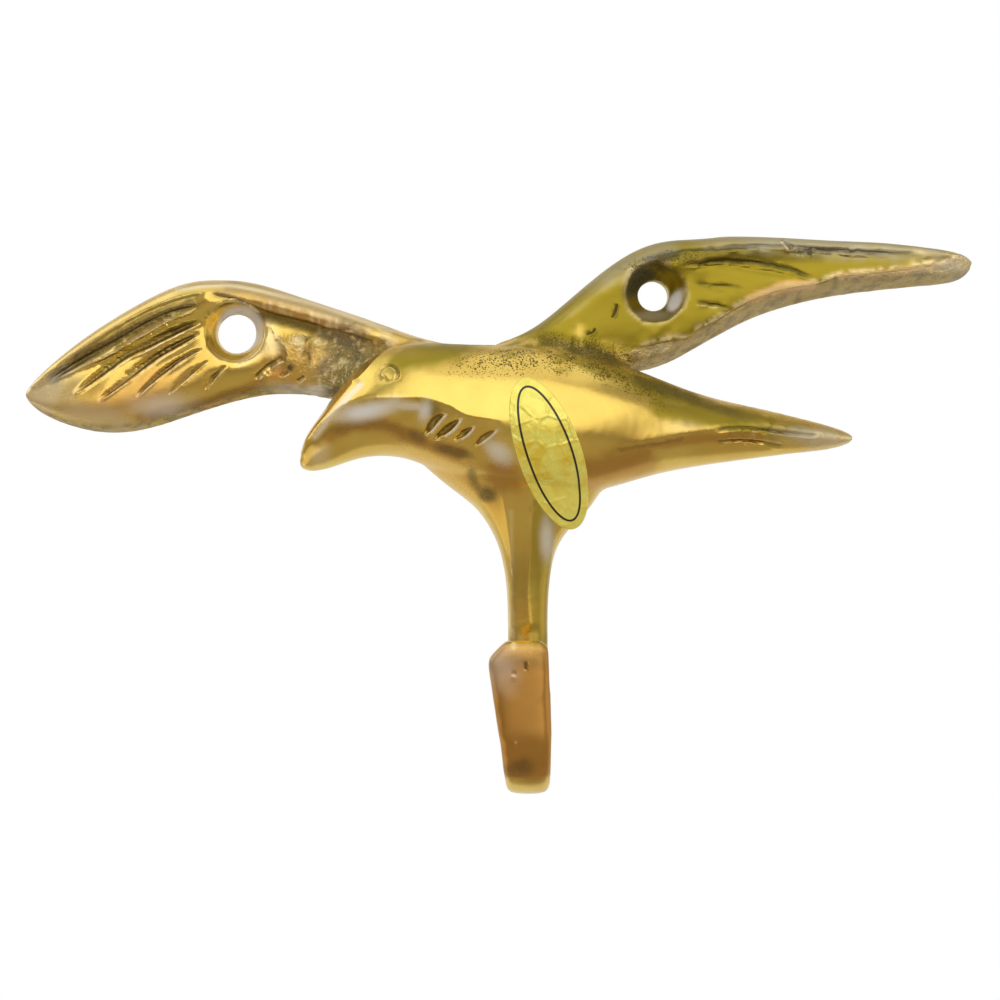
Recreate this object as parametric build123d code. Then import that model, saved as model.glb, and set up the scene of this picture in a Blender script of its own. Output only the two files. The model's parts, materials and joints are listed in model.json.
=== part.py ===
from build123d import *
import os
from collections import namedtuple
from math import cos, pi, radians, sin

# Decorative wall hook: a flying bird cast in brass in one piece, with a hook growing out of its belly,
# a countersunk screw hole in each wing, and a small oval foil label stuck on its flank.
#
# Millimetres. X runs to the viewer's right, Z is up, and the wall is the plane Y = 0.
# The bird stands out of the wall towards -Y, so "reach" below is a distance out of the wall, -Y.
# The origin is on the wall, on the stem's centre line, level with the middle of the body.

# One cross-section of the body: where it is, its upper and lower edge, how far it reaches out and back,
# and its squareness, where 2 is an ellipse and less gives a ridge along the front.
BodyStation = namedtuple("BodyStation", "x top bottom crown back squareness")
BODY_STATIONS = [
    BodyStation(-35.9, -5.6, -7.0, 7.2, 5.4, 2.0),
    BodyStation(-35.2, -3.6, -7.4, 8.4, 4.0, 1.9),
    BodyStation(-33.0, 0.3, -7.5, 10.2, 2.4, 1.8),
    BodyStation(-30.3, 4.4, -6.8, 12.2, 1.0, 1.8),
    BodyStation(-27.3, 7.9, -5.8, 13.8, -0.4, 1.85),
    BodyStation(-23.4, 10.9, -5.2, 15.0, -2.0, 1.9),
    BodyStation(-18.7, 12.4, -5.8, 15.8, -3.4, 2.0),
    BodyStation(-12.4, 12.4, -8.4, 16.6, -4.4, 2.0),
    BodyStation(-4.5, 12.2, -10.6, 17.4, -5.2, 2.0),
    BodyStation(3.4, 12.0, -11.4, 17.4, -5.4, 2.0),
    BodyStation(11.3, 10.3, -10.5, 16.0, -4.4, 1.95),
    BodyStation(19.2, 7.5, -8.3, 13.2, -2.8, 1.9),
    BodyStation(27.2, 4.6, -6.7, 10.6, -1.4, 1.8),
    BodyStation(35.2, 2.7, -5.6, 8.4, -0.6, 1.75),
    BodyStation(43.3, 0.9, -4.6, 6.4, 0.0, 1.75),
    BodyStation(49.0, -0.6, -3.8, 4.8, 0.4, 1.8),
    BodyStation(51.6, -1.7, -2.8, 3.6, 1.2, 2.0),
]

# One cross-section of a wing: where it is, its leading and trailing edge, and the reach of its front face
# at the rim behind the leading edge, in the valley behind the rim, at mid chord and at the trailing edge.
WingStation = namedtuple("WingStation", "x leading trailing rim valley middle heel")
LEFT_WING_STATIONS = [
    WingStation(-80.8, 5.0, 4.2, 1.5, 1.5, 1.4, 1.2),
    WingStation(-78.7, 7.7, 2.1, 2.3, 2.0, 2.1, 1.6),
    WingStation(-74.2, 11.7, 0.0, 3.2, 2.6, 2.8, 1.9),
    WingStation(-69.7, 15.0, -1.1, 3.9, 2.9, 3.3, 2.1),
    WingStation(-63.0, 19.1, -1.0, 4.5, 3.2, 3.7, 2.2),
    WingStation(-56.2, 22.3, 0.9, 5.0, 3.5, 4.0, 2.3),
    WingStation(-49.5, 23.2, 3.1, 5.3, 3.9, 4.2, 2.4),
    WingStation(-42.7, 22.4, 4.7, 5.5, 4.2, 4.3, 2.5),
    WingStation(-36.0, 20.3, 4.8, 5.7, 4.3, 4.1, 2.6),
    WingStation(-29.3, 18.1, 3.6, 6.0, 4.4, 3.8, 2.7),
    WingStation(-22.2, 15.6, 2.4, 6.3, 4.8, 4.0, 2.9),
    WingStation(-15.7, 13.5, 2.0, 6.2, 5.2, 4.6, 3.4),
    WingStation(-8.0, 11.2, 2.0, 6.0, 5.4, 5.0, 4.0),
]
RIGHT_WING_STATIONS = [
    WingStation(-7.0, 11.4, 1.0, 5.8, 6.4, 6.8, 6.0),
    WingStation(-2.3, 13.9, 2.6, 6.6, 7.4, 7.8, 6.4),
    WingStation(2.2, 16.4, 4.8, 7.0, 7.8, 8.0, 6.2),
    WingStation(6.6, 20.0, 6.4, 6.9, 7.5, 7.6, 5.8),
    WingStation(11.5, 24.1, 7.7, 6.6, 6.9, 6.8, 5.2),
    WingStation(18.0, 28.2, 8.6, 6.2, 6.2, 6.0, 4.6),
    WingStation(24.4, 29.6, 10.9, 5.9, 5.6, 5.5, 4.3),
    WingStation(30.8, 30.1, 14.5, 5.6, 5.1, 5.1, 4.1),
    WingStation(37.2, 30.1, 17.6, 5.2, 4.7, 4.8, 3.9),
    WingStation(43.7, 29.8, 19.6, 4.8, 4.4, 4.6, 3.7),
    WingStation(51.7, 29.4, 21.1, 4.4, 4.1, 4.3, 3.4),
    WingStation(59.7, 28.9, 22.0, 4.0, 3.8, 3.9, 3.1),
    WingStation(66.2, 28.1, 22.6, 3.5, 3.3, 3.4, 2.7),
    WingStation(69.7, 27.2, 23.5, 2.9, 2.8, 2.8, 2.2),
    WingStation(71.1, 26.1, 24.8, 2.0, 1.9, 1.9, 1.6),
]
# Where the points of a wing's front curve stand, as shares of the chord behind the leading edge,
# and how far along the curve each one comes.
NOSE_CHORD, RIM_CHORD, VALLEY_CHORD, MIDDLE_CHORD = 0.035, 0.15, 0.33, 0.6
NOSE_REACH = 0.6  # of the rim's reach
FRONT_PARAMETERS = [0, 0.14, 0.28, 0.46, 0.7, 1]
HEEL_DRAFT = 0.35  # how far the trailing wall leans in, per millimetre of its reach

# The hook: a stem on the wall, a bend that comes forward out of it, and a flat tab that rises from the bend.
STEM_LEFT, STEM_RIGHT = -3.2, 3.1
STEM_BACK, STEM_THICKNESS = 0.4, 5.6
STEM_SQUARENESS = 3.2
STEM_END_Z = -46.8
HOOK_GAP = 10.6
TAB_ROOT_LEFT, TAB_ROOT_THICKNESS = -4.6, 4.6
TAB_TIP_LEFT, TAB_TIP_RIGHT, TAB_TIP_THICKNESS = -6.9, 2.65, 3.6
TAB_RISE = 14.6
TAB_LEAN_DEG = 5.0
TAB_CORNER = 3.2
TAB_BEVEL = 0.9
TAB_SQUARENESS = 6.0
TAB_STEP = 0.1  # how far the tab stands proud of the bend all round, where it starts
TAB_LAP = 1.0  # how far the bend runs on inside the tab
STEM_SECTIONS = 3
BEND_SECTIONS = 8
BEND_RADIUS = (STEM_THICKNESS / 2 + HOOK_GAP + TAB_ROOT_THICKNESS / 2) / 2

# One cross-section of the flare between the belly and the stem: its height, how much wider than the stem
# it is on each side, in front and behind, and its squareness.
FlareStation = namedtuple("FlareStation", "z left right front back squareness")
FLARE_STATIONS = [
    FlareStation(-3.6, 14.2, 12.5, 7.4, 4.4, 2.0),
    FlareStation(-6.4, 13.6, 12.7, 7.4, 4.4, 2.0),
    FlareStation(-8.7, 11.0, 10.7, 6.5, 4.4, 2.1),
    FlareStation(-10.9, 8.2, 8.3, 5.4, 4.4, 2.2),
    FlareStation(-13.1, 5.5, 6.8, 4.4, 4.0, 2.4),
    FlareStation(-15.3, 3.7, 4.8, 3.4, 3.6, 2.5),
    FlareStation(-17.5, 2.4, 2.8, 2.5, 3.2, 2.6),
    FlareStation(-19.7, 1.5, 1.5, 1.8, 2.8, 2.6),
    FlareStation(-24.2, 0.5, 0.4, 0.9, 2.0, 2.7),
    FlareStation(-29.5, 0.1, 0.0, 0.4, 1.2, 2.8),
]

# Screw holes: centre, through bore and countersink mouth, with a straight wall left behind the cone.
ScrewHole = namedtuple("ScrewHole", "x z bore mouth straight")
LEFT_HOLE = ScrewHole(-46.8, 14.6, 6.4, 9.4, 1.8)
RIGHT_HOLE = ScrewHole(20.0, 20.6, 5.0, 9.2, 2.4)
HOLE_OVERRUN = 1.0  # how far the drill runs out behind the wall face

# Carving: each stroke is a chisel cut along points of the front face, given as (x, z) from left to right.
Chisel = namedtuple("Chisel", "width depth lean")
FEATHER_CHISEL = Chisel(1.7, 0.6, 0.5)
GASH_CHISEL = Chisel(1.4, 0.7, 0.0)
EYE_CHISEL = Chisel(0.8, 0.4, 0.0)
LEFT_WING_STROKES = [
    [(-75.7, 6.9), (-65.3, 11.0), (-58.3, 15.2), (-52.4, 18.0)],
    [(-71.8, 4.6), (-68.4, 8.0), (-63.2, 11.5), (-58.0, 13.9), (-51.8, 15.5)],
    [(-67.6, 4.0), (-64.9, 7.0), (-60.5, 9.8), (-55.1, 12.5), (-51.9, 14.3)],
    [(-62.2, 4.5), (-58.1, 7.9), (-55.0, 9.8), (-51.8, 11.9)],
    [(-57.2, 4.5), (-54.6, 7.0), (-50.9, 10.1)],
    [(-51.5, 5.4), (-48.9, 8.6)],
    [(-43.7, 6.7), (-40.0, 9.1), (-39.2, 10.6)],
    [(-39.8, 7.5), (-37.6, 8.6)],
]
RIGHT_WING_STROKES = [
    [(22.4, 26.2), (27.6, 27.4), (34.4, 27.6), (42.8, 26.9), (51.0, 26.4), (59.2, 26.0)],
    [(23.8, 24.1), (29.1, 24.8), (35.9, 24.4), (40.6, 23.6), (44.9, 22.4)],
    [(25.6, 21.6), (34.4, 20.9)],
    [(26.8, 18.6), (31.4, 18.0)],
]
TAIL_STROKES = [
    [(28.2, -1.5), (33.2, -0.9), (39.2, -1.7), (45.8, -2.5)],
    [(28.5, -3.4), (34.0, -3.2), (40.0, -4.0)],
]
NECK_GASHES = [
    [(-15.6, -2.4), (-12.8, 1.4)],
    [(-14.2, -2.8), (-10.2, 0.6)],
    [(-11.4, -3.0), (-8.4, -0.8)],
    [(-8.0, -4.0), (-5.0, -1.6)],
]
TIP_LIFT = 0.3  # the chisel leaves the face this far above it at a stroke's ends, as a share of its depth
EYE_X, EYE_Z, EYE_RADIUS = -21.6, 7.0, 1.35

# The oval label, as it is seen from the front.
LABEL_X, LABEL_Z = 3.0, -5.2
LABEL_LENGTH = 24.4
LABEL_WIDTH = 9.6
LABEL_TILT_DEG = 20.3
LABEL_THICKNESS = 0.2
LABEL_FLAP = 2.2  # how far past the flare's right side its lower end can stand off
LABEL_BACK = 5.0  # it doesn't wrap further back than this reach

OVAL_POINTS = 12
WALL_ALLOWANCE = 4.0  # the wings start this far behind the wall and are trimmed flush with it
FAR = 200.0  # longer than the part, for trimming blocks


def across(x):
    """Plane across the bird at x, with +Z as its first axis and the reach as its second."""
    return Plane(origin=(x, 0, 0), x_dir=(0, 0, 1), z_dir=(1, 0, 0))


def level(z):
    """Level plane at z, with +X as its first axis and the reach as its second."""
    return Plane(origin=(0, 0, z), x_dir=(1, 0, 0), z_dir=(0, 0, -1))


def oval(plane, centre, half_width, half_depth, squareness):
    """Face inside a superellipse: squareness 2 is an ellipse, and more is closer to a rectangle."""
    points = []
    for i in range(OVAL_POINTS):
        turn = 2 * pi * i / OVAL_POINTS
        u = abs(cos(turn)) ** (2 / squareness) * (1 if cos(turn) > 0 else -1)
        v = abs(sin(turn)) ** (2 / squareness) * (1 if sin(turn) > 0 else -1)
        points.append(plane.from_local_coords((centre[0] + half_width * u, centre[1] + half_depth * v, 0)))
    knots = [i / OVAL_POINTS for i in range(OVAL_POINTS + 1)]
    return Face(Wire([Edge.make_spline(points, periodic=True, parameters=knots)]))


def body(growth=0.0):
    """The bird's round body from beak to tail, thicker all over by growth."""
    sections = []
    for s in BODY_STATIONS:
        centre = ((s.top + s.bottom) / 2, (s.crown + s.back) / 2)
        half_height = (s.top - s.bottom) / 2 + growth
        half_depth = (s.crown - s.back) / 2 + growth
        sections.append(oval(across(s.x), centre, half_height, half_depth, s.squareness))
    return loft(sections)


def wing_section(s):
    """A wing's cross-section: a rounded nose, a rim, a falling front face and a leaning trailing wall."""
    plane = across(s.x)
    chord = s.leading - s.trailing

    def at(z, reach):
        return plane.from_local_coords((z, reach, 0))

    front = [
        at(s.leading, 0),
        at(s.leading - NOSE_CHORD * chord, NOSE_REACH * s.rim),
        at(s.leading - RIM_CHORD * chord, s.rim),
        at(s.leading - VALLEY_CHORD * chord, s.valley),
        at(s.leading - MIDDLE_CHORD * chord, s.middle),
        at(s.trailing + HEEL_DRAFT * s.heel, s.heel),
    ]
    nose = at(s.leading, -WALL_ALLOWANCE)
    heel = at(s.trailing - HEEL_DRAFT * WALL_ALLOWANCE, -WALL_ALLOWANCE)
    edges = [
        Edge.make_line(nose, front[0]),
        Edge.make_spline(front, parameters=FRONT_PARAMETERS),
        Edge.make_line(front[-1], heel),
        Edge.make_line(heel, nose),
    ]
    return Face(Wire(edges))


def wing(stations):
    """One wing, from its tip to its root inside the body."""
    return loft([wing_section(s) for s in stations])


def flare_section(s, growth, flap):
    """A level cross-section of the flare, with its right side moved out by flap."""
    left = STEM_LEFT - s.left
    right = STEM_RIGHT + s.right + flap
    back = STEM_BACK - s.back
    front = STEM_BACK + STEM_THICKNESS + s.front
    centre = ((left + right) / 2, (back + front) / 2)
    half_width = (right - left) / 2 + growth
    half_depth = (front - back) / 2 + growth
    return oval(level(s.z), centre, half_width, half_depth, s.squareness)


def stem_section(share, growth):
    """A level cross-section at that share of the way down from the flare to the bend."""
    top = FLARE_STATIONS[-1]
    squareness = top.squareness + (STEM_SQUARENESS - top.squareness) * share
    rest = [extra * (1 - share) for extra in (top.left, top.right, top.front, top.back)]
    z = top.z + (STEM_END_Z - top.z) * share
    return flare_section(FlareStation(z, *rest, squareness), growth, 0)


def bar_section(reach, z, turn_deg, left, right, thickness, squareness, growth):
    """A cross-section of the hook's bar, square to the bar where it has turned that far from straight down."""
    turn = radians(turn_deg)
    plane = Plane(origin=(0, -reach, z), x_dir=(1, 0, 0), z_dir=(0, -sin(turn), -cos(turn)))
    half_width = (right - left) / 2 + growth
    return oval(plane, ((left + right) / 2, 0), half_width, thickness / 2 + growth, squareness)


def bend_section(share, growth):
    """The bar's cross-section at that share of the way round the bend."""
    turn_deg = (180 - TAB_LEAN_DEG) * share
    reach = STEM_BACK + STEM_THICKNESS / 2 + BEND_RADIUS * (1 - cos(radians(turn_deg)))
    z = STEM_END_Z - BEND_RADIUS * sin(radians(turn_deg))
    left = STEM_LEFT + (TAB_ROOT_LEFT - STEM_LEFT) * share**2
    thickness = STEM_THICKNESS + (TAB_ROOT_THICKNESS - STEM_THICKNESS) * share
    squareness = STEM_SQUARENESS + (TAB_SQUARENESS - STEM_SQUARENESS) * share
    return bar_section(reach, z, turn_deg, left, STEM_RIGHT, thickness, squareness, growth)


def hook(growth=0.0, flap=0.0):
    """The flare out of the belly, the stem and the bend that comes forward out of it."""
    sections = [flare_section(s, growth, flap) for s in FLARE_STATIONS]
    sections += [stem_section(i / STEM_SECTIONS, growth) for i in range(1, STEM_SECTIONS)]
    sections += [bend_section(i / BEND_SECTIONS, growth) for i in range(BEND_SECTIONS + 1)]
    sections.append(tab_section(TAB_LAP, -growth))
    return loft(sections)


def tab_section(rise, inset):
    """The tab's cross-section at that height above the bend, smaller all round by inset."""
    foot = bend_section(1, 0).center()
    lean = radians(TAB_LEAN_DEG)
    share = rise / TAB_RISE
    reach = -foot.Y + rise * sin(lean)
    z = foot.Z + rise * cos(lean)
    left = TAB_ROOT_LEFT + (TAB_TIP_LEFT - TAB_ROOT_LEFT) * share
    right = STEM_RIGHT + (TAB_TIP_RIGHT - STEM_RIGHT) * share
    thickness = TAB_ROOT_THICKNESS + (TAB_TIP_THICKNESS - TAB_ROOT_THICKNESS) * share
    return bar_section(reach, z, 180 - TAB_LEAN_DEG, left, right, thickness, TAB_SQUARENESS, -inset)


def tab():
    """The flat tab: it widens and thins towards a bevelled tip, and its upper left corner is cut off."""
    tip = tab_section(TAB_RISE, TAB_BEVEL)
    blade = loft([tab_section(0, -TAB_STEP), tab_section(TAB_RISE - TAB_BEVEL, 0), tip], ruled=True)
    margin = TAB_TIP_THICKNESS
    top = tip.center().Z
    wedge = Polyline(
        (TAB_TIP_LEFT - margin, top + margin),
        (TAB_TIP_LEFT + TAB_CORNER + margin, top + margin),
        (TAB_TIP_LEFT - margin, top - TAB_CORNER - margin),
        close=True,
    )
    front = Plane(origin=(0, tip.center().Y, 0), x_dir=(1, 0, 0), z_dir=(0, -1, 0))
    return blade - extrude(front * make_face(wedge), margin, both=True)


def behind_wall():
    """Everything on the wall's side of the back face."""
    return Pos(0, FAR / 2, 0) * Box(2 * FAR, FAR, 2 * FAR)


def screw_hole(hole):
    """Through bore, countersink cone and the clear way in front of it."""
    cone = (hole.mouth - hole.bore) / 2
    profile = Polyline(
        (0, -HOLE_OVERRUN),
        (hole.bore / 2, -HOLE_OVERRUN),
        (hole.bore / 2, hole.straight),
        (hole.mouth / 2, hole.straight + cone),
        (hole.mouth / 2, FAR / 4),
        (0, FAR / 4),
        close=True,
    )
    tool = revolve(make_face(profile), Axis.Y)
    return Pos(hole.x, 0, hole.z) * Rot(180, 0, 0) * tool


def front_point(shape, x, z):
    """The point of the shape's front face that is seen at (x, z)."""
    hits = shape.find_intersection_points(Axis((x, -FAR, z), (0, 1, 0)))
    return min((point for point, _ in hits), key=lambda point: point.Y)


def chisel_cut(shape, stroke, chisel):
    """V-shaped cutter along a stroke: it fades out at both ends, and its keel leans to the stroke's upper side."""
    outward = Vector(0, -1, 0)
    ends = [stroke[0], stroke[-1]]
    inner = stroke[1:-1]
    if not inner:
        inner = [((ends[0][0] + ends[1][0]) / 2, (ends[0][1] + ends[1][1]) / 2)]
    along = front_point(shape, *ends[1]) - front_point(shape, *ends[0])
    side = along.cross(outward).normalized() * (chisel.width / 2)
    profiles = []
    for place in inner:
        surface = front_point(shape, *place)
        above = surface + outward * chisel.depth  # where the V is twice as wide as at the surface
        keel = surface - outward * chisel.depth - side * chisel.lean
        corners = [keel, above + side * 2, above - side * (2 - chisel.lean)]
        profiles.append(Face(Wire.make_polygon(corners, close=True)))
    tips = [Vertex(*(front_point(shape, *end) + outward * chisel.depth * TIP_LIFT)) for end in ends]
    return loft([tips[0], *profiles, tips[1]])


def eye_cut(shape):
    """V-shaped ring round the eye."""
    centre = front_point(shape, EYE_X, EYE_Z)
    across_eye = front_point(shape, EYE_X + EYE_RADIUS, EYE_Z) - centre
    down_eye = front_point(shape, EYE_X, EYE_Z - EYE_RADIUS) - centre
    outward = down_eye.cross(across_eye).normalized()
    groove = Polyline(
        (EYE_RADIUS, -EYE_CHISEL.depth),
        (EYE_RADIUS + EYE_CHISEL.width, EYE_CHISEL.depth),
        (EYE_RADIUS - EYE_CHISEL.width, EYE_CHISEL.depth),
        close=True,
    )
    ring = revolve(Plane.XZ * make_face(groove), Axis.Z)
    return Plane(origin=centre, x_dir=across_eye, z_dir=outward) * ring


def carve(shape, strokes, chisel):
    """Cuts strokes into the front face of a shape."""
    carved = shape
    for stroke in strokes:
        carved = carved - chisel_cut(shape, stroke, chisel)
    return carved


def casting():
    """The whole brass casting: carved pieces grown together, trimmed flush with the wall and drilled."""
    bird = body()
    bird = carve(bird, NECK_GASHES, GASH_CHISEL) - eye_cut(bird)
    bird = carve(bird, TAIL_STROKES, FEATHER_CHISEL)
    bird += carve(wing(LEFT_WING_STATIONS), LEFT_WING_STROKES, FEATHER_CHISEL)
    bird += carve(wing(RIGHT_WING_STATIONS), RIGHT_WING_STROKES, FEATHER_CHISEL)
    bird += hook() + tab()
    return bird - behind_wall() - screw_hole(LEFT_HOLE) - screw_hole(RIGHT_HOLE)


def label_form(growth):
    """What the label lies on: the body, and the flare with its right side moved out."""
    return body(growth) + hook(growth, LABEL_FLAP)


def label(brass):
    """Thin oval label that follows the body and the flare, and stands off the flare at its lower end."""
    skin = label_form(LABEL_THICKNESS) - label_form(0)
    outline = Plane(origin=(LABEL_X, 0, LABEL_Z), x_dir=(1, 0, 0), z_dir=(0, -1, 0))
    oval_face = outline * Rot(0, 0, LABEL_TILT_DEG) * Ellipse(LABEL_WIDTH / 2, LABEL_LENGTH / 2)
    behind_label = Pos(0, -LABEL_BACK, 0) * behind_wall()
    return (skin & extrude(oval_face, FAR / 4)) - behind_label - brass


def main():
    os.makedirs("parts", exist_ok=True)
    brass = casting()
    export_step(brass, "parts/bird_casting.step")
    export_step(label(brass), "parts/oval_label.step")


main()
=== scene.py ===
import json
import logging
import math
from dataclasses import dataclass, field
from enum import Enum
from typing import ClassVar

import bmesh
import bpy
import numpy as np
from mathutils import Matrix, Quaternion, Vector
from mathutils.bvhtree import BVHTree

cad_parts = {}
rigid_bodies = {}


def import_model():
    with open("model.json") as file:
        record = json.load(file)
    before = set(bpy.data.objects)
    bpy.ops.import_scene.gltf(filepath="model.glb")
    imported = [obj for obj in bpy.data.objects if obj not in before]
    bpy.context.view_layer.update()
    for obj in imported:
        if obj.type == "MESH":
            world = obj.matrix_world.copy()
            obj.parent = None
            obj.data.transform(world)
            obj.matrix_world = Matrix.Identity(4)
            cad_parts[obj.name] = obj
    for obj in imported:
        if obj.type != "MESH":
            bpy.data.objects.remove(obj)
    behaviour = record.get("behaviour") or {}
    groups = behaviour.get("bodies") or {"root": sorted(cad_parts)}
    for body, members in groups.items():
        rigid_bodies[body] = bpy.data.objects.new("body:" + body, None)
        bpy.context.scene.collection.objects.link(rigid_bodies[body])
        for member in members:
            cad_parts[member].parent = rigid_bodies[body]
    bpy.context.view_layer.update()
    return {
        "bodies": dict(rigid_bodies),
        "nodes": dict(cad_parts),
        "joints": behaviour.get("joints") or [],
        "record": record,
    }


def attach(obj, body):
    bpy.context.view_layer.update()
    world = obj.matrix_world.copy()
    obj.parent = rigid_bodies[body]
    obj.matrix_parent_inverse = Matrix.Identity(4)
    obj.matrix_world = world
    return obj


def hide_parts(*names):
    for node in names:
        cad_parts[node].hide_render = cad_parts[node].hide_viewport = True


# Looks of the cast brass bird hook: its worked surface, its foil label, the studio and the camera.
# On the part, places and sizes are in millimetres of the shared frame: X to the viewer's right, Z up and
# the wall at Y = 0. In the studio they are in metres.

MM = 0.001
WELD = 0.001 * MM
LOG = logging.getLogger("bird_hook")

Point = tuple[float, float]
Span = tuple[float, float]
Place = tuple[float, float, float]
Colour = tuple[float, float, float]
Socket = bpy.types.NodeSocket


class Cut(Enum):
    """How the tool that made a stroke left the surface."""

    FEATHER = "groove above the stroke, ridge along it"
    LEDGE = "drops off below the stroke"
    GASH = "cut with a raised edge below it"
    CREST = "broad rise with a crisp top"


class Mask(Enum):
    """What a painted area of the casting shows, and the name of its vertex attribute."""

    OLIVE = "olive"
    COPPER_AND_HIGHLIGHT = "copper_and_highlight"
    BROWN = "brown_and_shade"
    TARNISH_AND_SHADE = "tarnish_and_shade"
    HAZE_AND_REFLECTION = "haze_and_reflection"
    SAND = "sand"
    PITS = "pits"
    WEAR_AND_HIGHLIGHT = "wear_and_highlight"


def ramp(value: np.ndarray, low: float, high: float) -> np.ndarray:
    """Smooth step.

    Args:
        value: Numbers to map.
        low: Where the result is 0.
        high: Where the result is 1; it may lie below low.

    Returns:
        Numbers from 0 to 1.
    """
    share = np.clip((value - low) / (high - low), 0.0, 1.0)
    return share * share * (3.0 - 2.0 * share)


def bell(value: np.ndarray, centre: float, width: float) -> np.ndarray:
    """Rounded peak.

    Args:
        value: Numbers to map.
        centre: Where the result is 1.
        width: How far from the centre the result has fallen to about a third.

    Returns:
        Numbers from 0 to 1.
    """
    return np.exp(-(((value - centre) / width) ** 2))


class LatticeNoise:
    """Smooth noise over space, the same on every run."""

    SIDE = 32

    def __init__(self, seed: int) -> None:
        """Fills the lattice from a seed."""
        self.values = np.random.default_rng(seed).uniform(-1.0, 1.0, (self.SIDE,) * 3)

    def at(self, points: np.ndarray, size: float) -> np.ndarray:
        """Noise at some points.

        Args:
            points: Places, one row each.
            size: Width of one bump, in the units of the points.

        Returns:
            Numbers from -1 to 1.
        """
        cell = points / size
        base = np.floor(cell).astype(int)
        share = cell - base
        share = share * share * (3.0 - 2.0 * share)
        total = np.zeros(len(points))
        for corner in np.ndindex(2, 2, 2):
            index = (base + np.array(corner)) % self.SIDE
            weight = np.prod(np.where(corner, share, 1.0 - share), axis=1)
            total += weight * self.values[index[:, 0], index[:, 1], index[:, 2]]
        return total

    def layered(self, points: np.ndarray, layers: dict[float, float]) -> np.ndarray:
        """Noise of several sizes together.

        Args:
            points: Places, one row each.
            layers: The height of each layer by the width of its bumps.

        Returns:
            The sum of the layers.
        """
        return sum(height * self.at(points, size) for size, height in layers.items())


@dataclass(frozen=True)
class Curve:
    """A smooth line on the front face, given by points (x, z) from left to right."""

    path: tuple[Point, ...]

    STEPS: ClassVar[int] = 8

    def line(self) -> np.ndarray:
        """Points along the smooth curve through the given points."""
        knots = np.array(self.path, float)
        if len(knots) == 2:
            return np.linspace(knots[0], knots[1], self.STEPS + 1)
        ends = np.vstack([2 * knots[0] - knots[1], knots, 2 * knots[-1] - knots[-2]])
        places = []
        for a, b, c, d in zip(ends, ends[1:], ends[2:], ends[3:]):
            for t in np.linspace(0.0, 1.0, self.STEPS, endpoint=False):
                places.append(
                    b + 0.5 * t * (c - a + t * (2 * a - 5 * b + 4 * c - d + t * (3 * (b - c) + d - a)))
                )
        return np.vstack([places, knots[-1:]])

    def measure(self, flat: np.ndarray) -> tuple[np.ndarray, np.ndarray]:
        """Where points lie beside the curve.

        Args:
            flat: Points (x, z), one row each.

        Returns:
            Distance across the curve, positive below it, and share of the way along it.
        """
        line = self.line()
        run = np.diff(line, axis=0)
        length = np.linalg.norm(run, axis=1)
        before = np.concatenate([[0.0], np.cumsum(length)])
        best = np.full(len(flat), np.inf)
        across = np.zeros(len(flat))
        along = np.zeros(len(flat))
        for i, (start, step, size) in enumerate(zip(line, run, length)):
            offset = flat - start
            share = np.clip(offset @ step / (size * size), 0.0, 1.0)
            gap = offset - share[:, None] * step
            distance = np.hypot(gap[:, 0], gap[:, 1])
            nearer = distance < best
            side = np.where(step[0] * offset[:, 1] - step[1] * offset[:, 0] > 0, -1.0, 1.0)
            best = np.where(nearer, distance, best)
            across = np.where(nearer, side * distance, across)
            along = np.where(nearer, (before[i] + share * size) / before[-1], along)
        return across, along


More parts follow.
